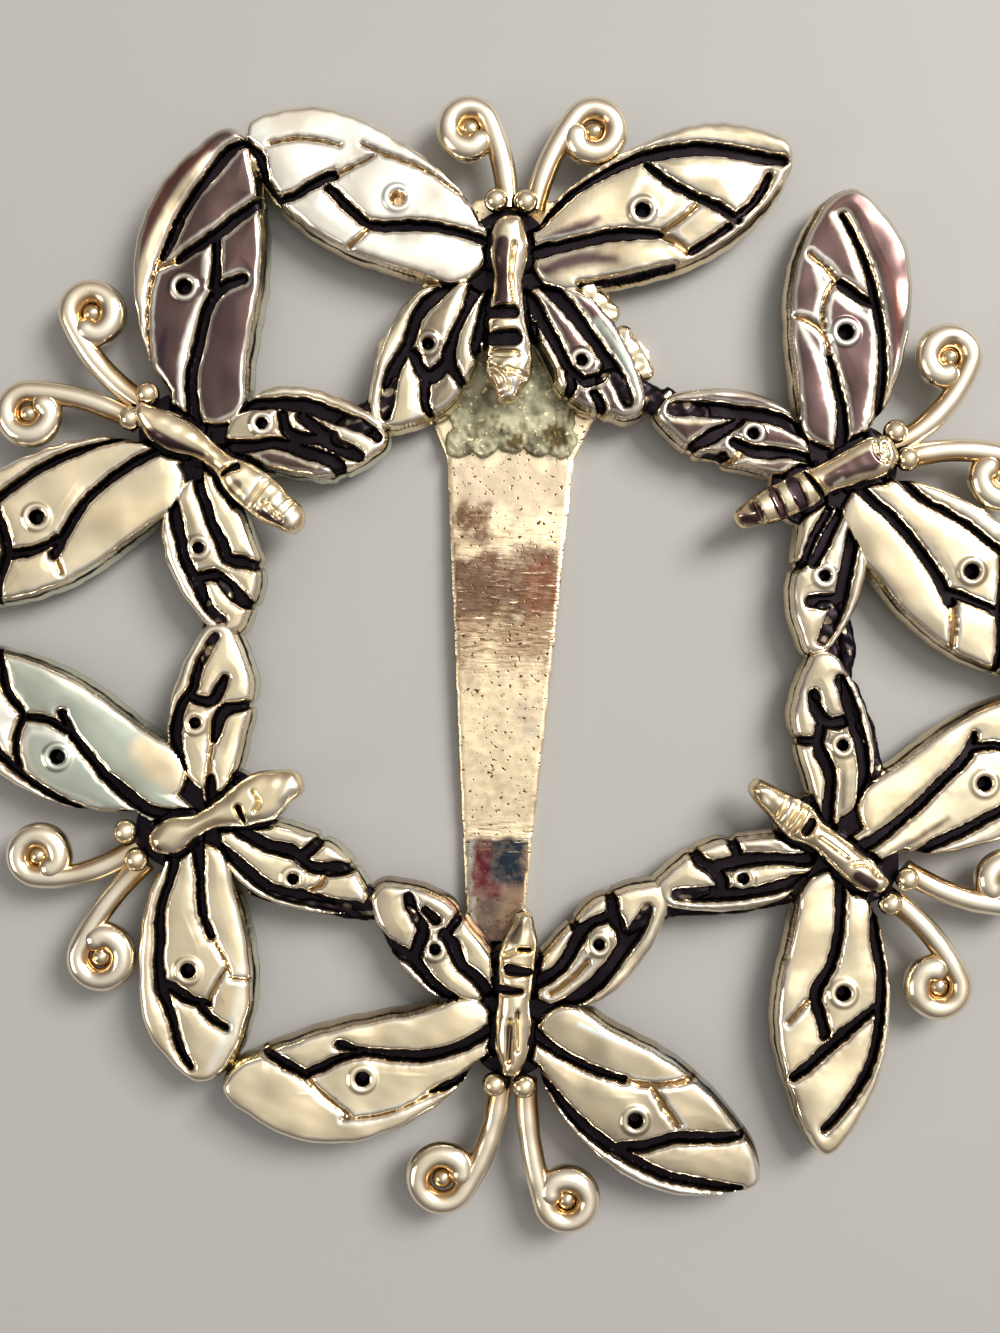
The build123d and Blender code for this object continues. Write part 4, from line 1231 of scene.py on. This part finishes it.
def stained_and_reflecting(plan, edge):
    """The blade's tone, and how much of its gold the tarnish and the painted reflections cover."""
    wander = plan.waves(1.8, 64)
    tone, clean = plan.toned(SHEET_GOLD), np.ones(plan.shape)
    # Patches of tarnish and of painted reflection, laid on in turn
    for colour, blur, amount, low, high in SHEET_STAINS_AND_REFLECTIONS:
        out_x = np.maximum(low[0] - plan.gx, plan.gx - high[0])
        out_y = np.maximum(low[1] - plan.gy, plan.gy - high[1])
        away = np.hypot(np.maximum(out_x, 0), np.maximum(out_y, 0)) + np.minimum(np.maximum(out_x, out_y), 0)
        share = amount * smooth(0.5 - (away + 0.18 * blur * wander) / (1.3 * blur))
        clean *= 1 - share
        tone = laid(tone, colour, smooth(share / 0.3))
    return tone, (1 - clean) * smooth((edge - 0.10) / 0.08)


def clip_sheet():
    """The clip blade, in its own plane: a worn sheet bowed along the strip and raised at its tip."""
    right = np.array(BLADE_STATIONS)
    turn = np.linspace(0, math.pi, 9)[1:-1, None]
    tip = (0, STRIP_END_Y) + STRIP_END_HALF_WIDTH * np.hstack((np.cos(turn), -np.sin(turn)))
    outline = np.vstack((right, tip, (right * (-1, 1))[::-1]))
    plan = Plan(outline, 0.4, 1.9 * GRID)
    edge = plan.depth(outline) + 0.012 * plan.waves(0.6, 60)
    middle, half_span = (STRIP_TOP_Y + CREASE_Y) / 2, (STRIP_TOP_Y - CREASE_Y) / 2
    under = BLADE_BOW * np.clip(1 - ((plan.gy - middle) / half_span) ** 2, 0, None)
    under += np.maximum(0, CREASE_Y - plan.gy) * math.tan(math.radians(TIP_RISE))
    dents = 0.012 * plan.waves(3.0, 61) + 0.004 * plan.waves(0.8, 62)
    top = under + BLADE_THICKNESS - 0.03 - 0.12 * (1 - quarter(edge / 0.18)) + dents
    # The tone and its cover carry tarnish and painted reflections alike
    tone, age_and_reflection = stained_and_reflecting(plan, edge)
    body = Body()
    slab(body, plan, edge, top, tone, age_and_reflection, 63, TONES_AND_REFLECTIONS["c"], under=under, soot=0.0)
    return body.mesh("clip_blade_sheet", PAD_MIDDLE, BLADE_HEADING)


def bonding_crust():
    """Hardened bonding on the pad, with a lumpy crust squeezed out below the casting."""
    box = np.array([(-BOND_HALF_WIDTH, STRIP_TOP_Y - 0.1), (BOND_HALF_WIDTH, BOND_TOP_Y)])
    plan = Plan(box, 0.3, 1.2 * GRID)
    middle, half_y = (BOND_TOP_Y + BOND_LUMP_Y) / 2, (BOND_TOP_Y - BOND_LUMP_Y) / 2
    out_x = np.maximum(0, np.abs(plan.gx) - BOND_HALF_WIDTH + BOND_LUMP_RADIUS / 2 + 1)
    out_y = np.maximum(0, np.abs(plan.gy - middle) - half_y + 1)
    edge, lumps = 1 - np.hypot(out_x, out_y), np.zeros(plan.shape)
    count = int(2 * (BOND_HALF_WIDTH - BOND_LUMP_RADIUS) / BOND_LUMP_SPACING) + 1
    for k in range(count):
        away = plan.away(((k - (count - 1) / 2) * BOND_LUMP_SPACING, BOND_LUMP_Y))
        edge = np.maximum(edge, BOND_LUMP_RADIUS - 0.05 - away)
        lumps = np.maximum(lumps, 1 - (away / BOND_LUMP_RADIUS) ** 2)
    edge += 0.05 * plan.waves(0.6, 70) + 0.12 * plan.waves(2.2, 76) - 0.10
    rough = 0.5 + 0.25 * plan.waves(0.8, 71) + 0.15 * plan.waves(0.35, 72)
    lumps *= smooth((BOND_LUMP_Y + 1.0 - plan.gy) / 0.5) ** 2
    height = BOND_THICKNESS * (0.75 + 0.25 * rough) * quarter(edge / 0.2)
    height += (BOND_LUMP_RISE - 0.04) * np.sqrt(lumps) * np.clip(0.4 + 0.7 * rough, 0, 1)
    tone, wander = plan.toned(BOND_GREEN), 0.25 * plan.waves(0.5, 73)
    for x, y, radius in BOND_SPOTS:
        tone = laid(tone, BOND_BROWN, 0.95 * smooth((radius - plan.away((x, y)) - wander) / 0.5))
    tone = np.clip(tone * (1 + 0.15 * plan.waves(1.2, 75)[..., None]), 0, 1)
    body = Body()
    slab(body, plan, edge, np.maximum(height, 0.06), tone, np.zeros(plan.shape), 74, BOND_WALL)
    return body.mesh("bonding_crust", PAD_MIDDLE, BLADE_HEADING, BOND_BOTTOM)


class Nodes:
    """Short ways to make, set and link the nodes of a material or of the world."""

    def __init__(self, tree):
        self.tree = tree

    def feed(self, value, socket):
        """Link an output to a socket, or set the socket to a plain value."""
        if isinstance(value, (int, float, tuple)):
            socket.default_value = value
        else:
            self.tree.links.new(value, socket)

    def node(self, kind, inputs, **settings):
        """The outputs of a new node with the given settings and inputs."""
        made = self.tree.nodes.new("ShaderNode" + kind)
        for name, value in settings.items():
            setattr(made, name, value)
        for name, value in inputs.items():
            self.feed(value, made.inputs[name])
        return made.outputs

    def end(self, node, socket, value):
        self.feed(value, self.tree.nodes[node].inputs[socket])

    def shade(self, socket, value):
        self.end("Principled BSDF", socket, value)

    def read(self, name, output="Fac"):
        return self.node("Attribute", {}, attribute_name=name)[output]

    def place(self):
        return self.node("TexCoord", {})["Object"]

    def noise(self, scale, detail=3.0, stretch=(1, 1, 1)):
        """Noise in the brooch's frame, with features about 1/scale metres wide."""
        vector = self.node("Mapping", {"Vector": self.place(), "Scale": stretch})[0]
        return self.node("TexNoise", {"Vector": vector, "Scale": scale, "Detail": detail})["Fac"]

    def ranged(self, value, low, high, to_low=0.0, to_high=1.0):
        inputs = {"Value": value, "From Min": low, "From Max": high, "To Min": to_low, "To Max": to_high}
        return self.node("MapRange", inputs)["Result"]

    def maths(self, operation, a, b):
        return self.node("Math", {0: a, 1: b}, operation=operation)[0]

    def add(self, a, b):
        return self.maths("ADD", a, b)

    def times(self, a, b):
        return self.maths("MULTIPLY", a, b)

    def mixed(self, share, a, b, blend="MIX"):
        """Two colours mixed by a share."""
        return self.node("Mix", {0: share, 6: a, 7: b}, data_type="RGBA", blend_type=blend)[2]

    def bump(self, height, strength, distance):
        inputs = {"Height": height, "Strength": strength, "Distance": distance}
        self.shade("Normal", self.node("Bump", inputs)["Normal"])


def begin(name, metallic):
    """A new material and its nodes."""
    material = bpy.data.materials.new(name)
    material.use_nodes = True
    n = Nodes(material.node_tree)
    n.shade("Metallic", metallic)
    return material, n


def cast_metal():
    """Bright plate with blackened recesses: tone is the plate's colour with painted highlights and
    reflections, and the other attribute the blackening.
    """
    material, n = begin("cast_plate", 1.0)
    fine, broad = n.noise(2600), n.noise(420, 4)
    black = n.ranged(n.add(n.times(fine, 0.5), n.read("age_and_reflection")), 0.55, 0.80)
    # Plate thinned to a warmer metal in faint clouds
    cloud = n.ranged(n.noise(300, 5), 0.45, 0.75, 0.0, 0.45)
    plate_colour = n.mixed(cloud, n.read("tone", "Color"), (0.94, 0.80, 0.60, 1), "MULTIPLY")
    n.shade("Base Color", n.mixed(black, plate_colour, (0.012, 0.009, 0.011, 1)))
    n.shade("Roughness", n.add(n.ranged(broad, 0.35, 0.7, 0.13, 0.27), n.times(black, 0.2)))
    n.bump(broad, 0.3, 0.00003)
    return material


def sheet_wear(n):
    """Where the blade is wrinkled across: in its middle and at the crease, by the frame's y."""
    y = n.node("SeparateXYZ", {0: n.place()})["Y"]
    middle = n.times(n.ranged(y, -0.0012, 0.0008), n.ranged(y, 0.0094, 0.0060))
    crease = n.ranged(n.maths("ABSOLUTE", n.add(y, 0.0098), 0.0), 0.0012, 0.0004)
    return n.maths("MAXIMUM", middle, crease)


def sheet_metal():
    """Worn plate on the blade: tone is the colour of its tarnish and its painted reflections, and the other
    attribute how far they cover it.
    """
    material, n = begin("worn_sheet", 1.0)
    wear, grain, mottle = sheet_wear(n), n.noise(2600, 4), n.noise(1500, 6)
    wrinkle = n.noise(1000, 3, (1, 5.5, 1))
    stain_and_reflection_cover = n.add(n.read("age_and_reflection"), n.ranged(mottle, 0.3, 0.7, -0.28, 0.28))
    gold = n.mixed(n.ranged(grain, 0.4, 0.7, 0.0, 0.7), (*SHEET_GOLD, 1), (0.62, 0.47, 0.29, 1))
    stain = n.mixed(n.ranged(mottle, 0.45, 0.65, 0.0, 0.3), n.read("tone", "Color"), (0.36, 0.28, 0.20, 1))
    colour = n.mixed(n.ranged(stain_and_reflection_cover, 0.2, 0.75), gold, stain)
    # Scratches where it is wrinkled, painted light on their crests and painted shade in their folds, and
    # small dark pits
    bright, dark = n.ranged(wrinkle, 0.64, 0.70), n.ranged(wrinkle, 0.44, 0.36, 0.0, 0.7)
    colour = n.mixed(n.times(bright, wear), colour, (0.80, 0.64, 0.42, 1))
    colour = n.mixed(n.times(dark, wear), colour, (0.16, 0.09, 0.05, 1))
    pits = n.ranged(n.noise(3800, 1), 0.64, 0.72)
    n.shade("Base Color", n.mixed(pits, colour, (0.10, 0.055, 0.03, 1)))
    n.shade("Roughness", n.ranged(mottle, 0.3, 0.7, 0.22, 0.40))
    height = n.add(n.times(wrinkle, n.add(wear, 0.1)), n.times(grain, 0.12))
    n.bump(n.maths("SUBTRACT", height, n.times(pits, 0.2)), 0.5, 0.00008)
    return material


def crust():
    """Hardened bonding: a dull lumpy mass, half mineral and half metal."""
    material, n = begin("bonding_crust", 0.0)
    lumps, grit = n.noise(900, 5), n.noise(3200, 2)
    # Painted light and shade: lighter on the lumps' tops and darker between them, with bright specks of
    # painted glint
    colour = n.mixed(n.ranged(lumps, 0.40, 0.60), (0.42, 0.40, 0.34, 1), (1.3, 1.3, 1.25, 1))
    colour = n.mixed(n.ranged(grit, 0.62, 0.70), colour, (2.4, 2.3, 2.1, 1))
    n.shade("Base Color", n.mixed(1.0, n.read("tone", "Color"), colour, "MULTIPLY"))
    n.shade("Roughness", n.ranged(grit, 0.35, 0.65, 0.5, 0.95))
    n.shade("Specular IOR Level", 0.25)
    n.bump(n.add(lumps, n.times(grit, 0.4)), 0.7, 0.00016)
    return material


def fitted(piece, node_name, material):
    """Gives a piece its material, hangs it under the root and hides the imported part of the node that it
    stands for.
    """
    piece.data.materials.append(material)
    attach(piece, "root")
    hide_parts(node_name)


plate = cast_metal()
for number, bug in enumerate(BUTTERFLIES):
    # Neighbours differ a little in height, so that no two backs lie in one plane
    piece = butterfly(bug, 100 * (number + 1), BACK_STAGGER * (number % 2))
    fitted(piece, "butterfly_wreath", plate)
fitted(casting_links(), "butterfly_wreath", plate)
fitted(clip_sheet(), "clip_blade", sheet_metal())
fitted(bonding_crust(), "bond_layer", crust())


def floor():
    """A plain pale floor under the brooch."""
    mesh = bpy.data.meshes.new("floor")
    mesh.from_pydata([(-3, -3, 0), (3, -3, 0), (3, 3, 0), (-3, 3, 0)], [], [(0, 1, 2, 3)])
    made = bpy.data.objects.new("floor", mesh)
    bpy.context.scene.collection.objects.link(made)
    paper, n = begin("floor", 0.0)
    n.shade("Base Color", (0.27, 0.262, 0.25, 1))
    n.shade("Roughness", 0.6)
    mesh.materials.append(paper)


# The photograph's pixels to a millimetre, its middle and the frame's origin in it, and how far
# the camera is above the casting
SCALE = 18.0
PHOTO_WIDTH = 1000
PHOTO_MIDDLE = (500, 666.5)
ORIGIN_PIXEL = (521.9, 664.6)
CAMERA_HEIGHT = 0.095
WING_TOP = 0.0018
SENSOR = 36


def camera():
    """A camera straight above the brooch, where the photograph's was."""
    data = bpy.data.cameras.new("camera")
    data.sensor_fit = "HORIZONTAL"
    data.sensor_width = SENSOR
    data.lens = SENSOR * SCALE * CAMERA_HEIGHT / MM / PHOTO_WIDTH
    data.clip_start = 0.001
    made = bpy.data.objects.new("camera", data)
    x, y = (PHOTO_MIDDLE[0] - ORIGIN_PIXEL[0]) / SCALE, (ORIGIN_PIXEL[1] - PHOTO_MIDDLE[1]) / SCALE
    made.location = (x * MM, y * MM, CAMERA_HEIGHT + CASTING_BACK * MM + WING_TOP)
    bpy.context.scene.collection.objects.link(made)
    bpy.context.scene.camera = made


def lamp(name, place, size, power, colour):
    """A soft lamp that points at the brooch."""
    data = bpy.data.lights.new(name, "AREA")
    data.shape = "RECTANGLE"
    data.size, data.size_y = size
    data.energy = power
    data.color = colour
    light = bpy.data.objects.new(name, data)
    light.location = place
    light.rotation_euler = (-Vector(place)).to_track_quat("-Z", "Y").to_euler()
    bpy.context.scene.collection.objects.link(light)


# Colours of the sky by height, and how bright it is towards the window and round its opening
SKY_STOPS = [
    (0.0, (0.22, 0.19, 0.18, 1)), (1.0, (1.0, 0.99, 0.97, 1)), (0.30, (0.36, 0.32, 0.30, 1)),
    (0.62, (0.50, 0.46, 0.44, 1)), (0.82, (0.88, 0.86, 0.83, 1)), (0.93, (1.0, 0.99, 0.97, 1)),
]
SKY_GLOWS = [((0.8, 0.6, 0.0), (-0.55, 0.55, 0.55, 1.30)), ((0.28, 0.21, 0.937), (0.91, 0.995, 0.0, 0.9))]


def sky():
    """A sky that is bright overhead and on the window's side."""
    world = bpy.data.worlds.new("studio")
    world.use_nodes = True
    n = Nodes(world.node_tree)
    position = n.node("NewGeometry", {})["Position"]
    height = n.node("SeparateXYZ", {0: position})["Z"]
    ramp = n.node("ValToRGB", {"Fac": height})["Color"]
    elements = ramp.node.color_ramp.elements
    for number, (place, colour) in enumerate(SKY_STOPS):
        stop = elements[number] if number < 2 else elements.new(place)
        stop.position, stop.color = place, colour
    slope, glow = (
        n.ranged(n.node("VectorMath", {0: position, 1: toward}, operation="DOT_PRODUCT")["Value"], *values)
        for toward, values in SKY_GLOWS
    )
    n.end("Background", "Strength", n.add(slope, glow))
    n.end("Background", "Color", ramp)
    bpy.context.scene.world = world
    bpy.context.scene.view_settings.view_transform = "Standard"


floor()
camera()
lamp("window", (0.34, 0.26, 0.46), (0.24, 0.30), 6.0, (1.0, 0.98, 0.94))
lamp("fill", (-0.5, -0.15, 0.35), (0.3, 0.3), 0.8, (1.0, 0.93, 0.84))
sky()
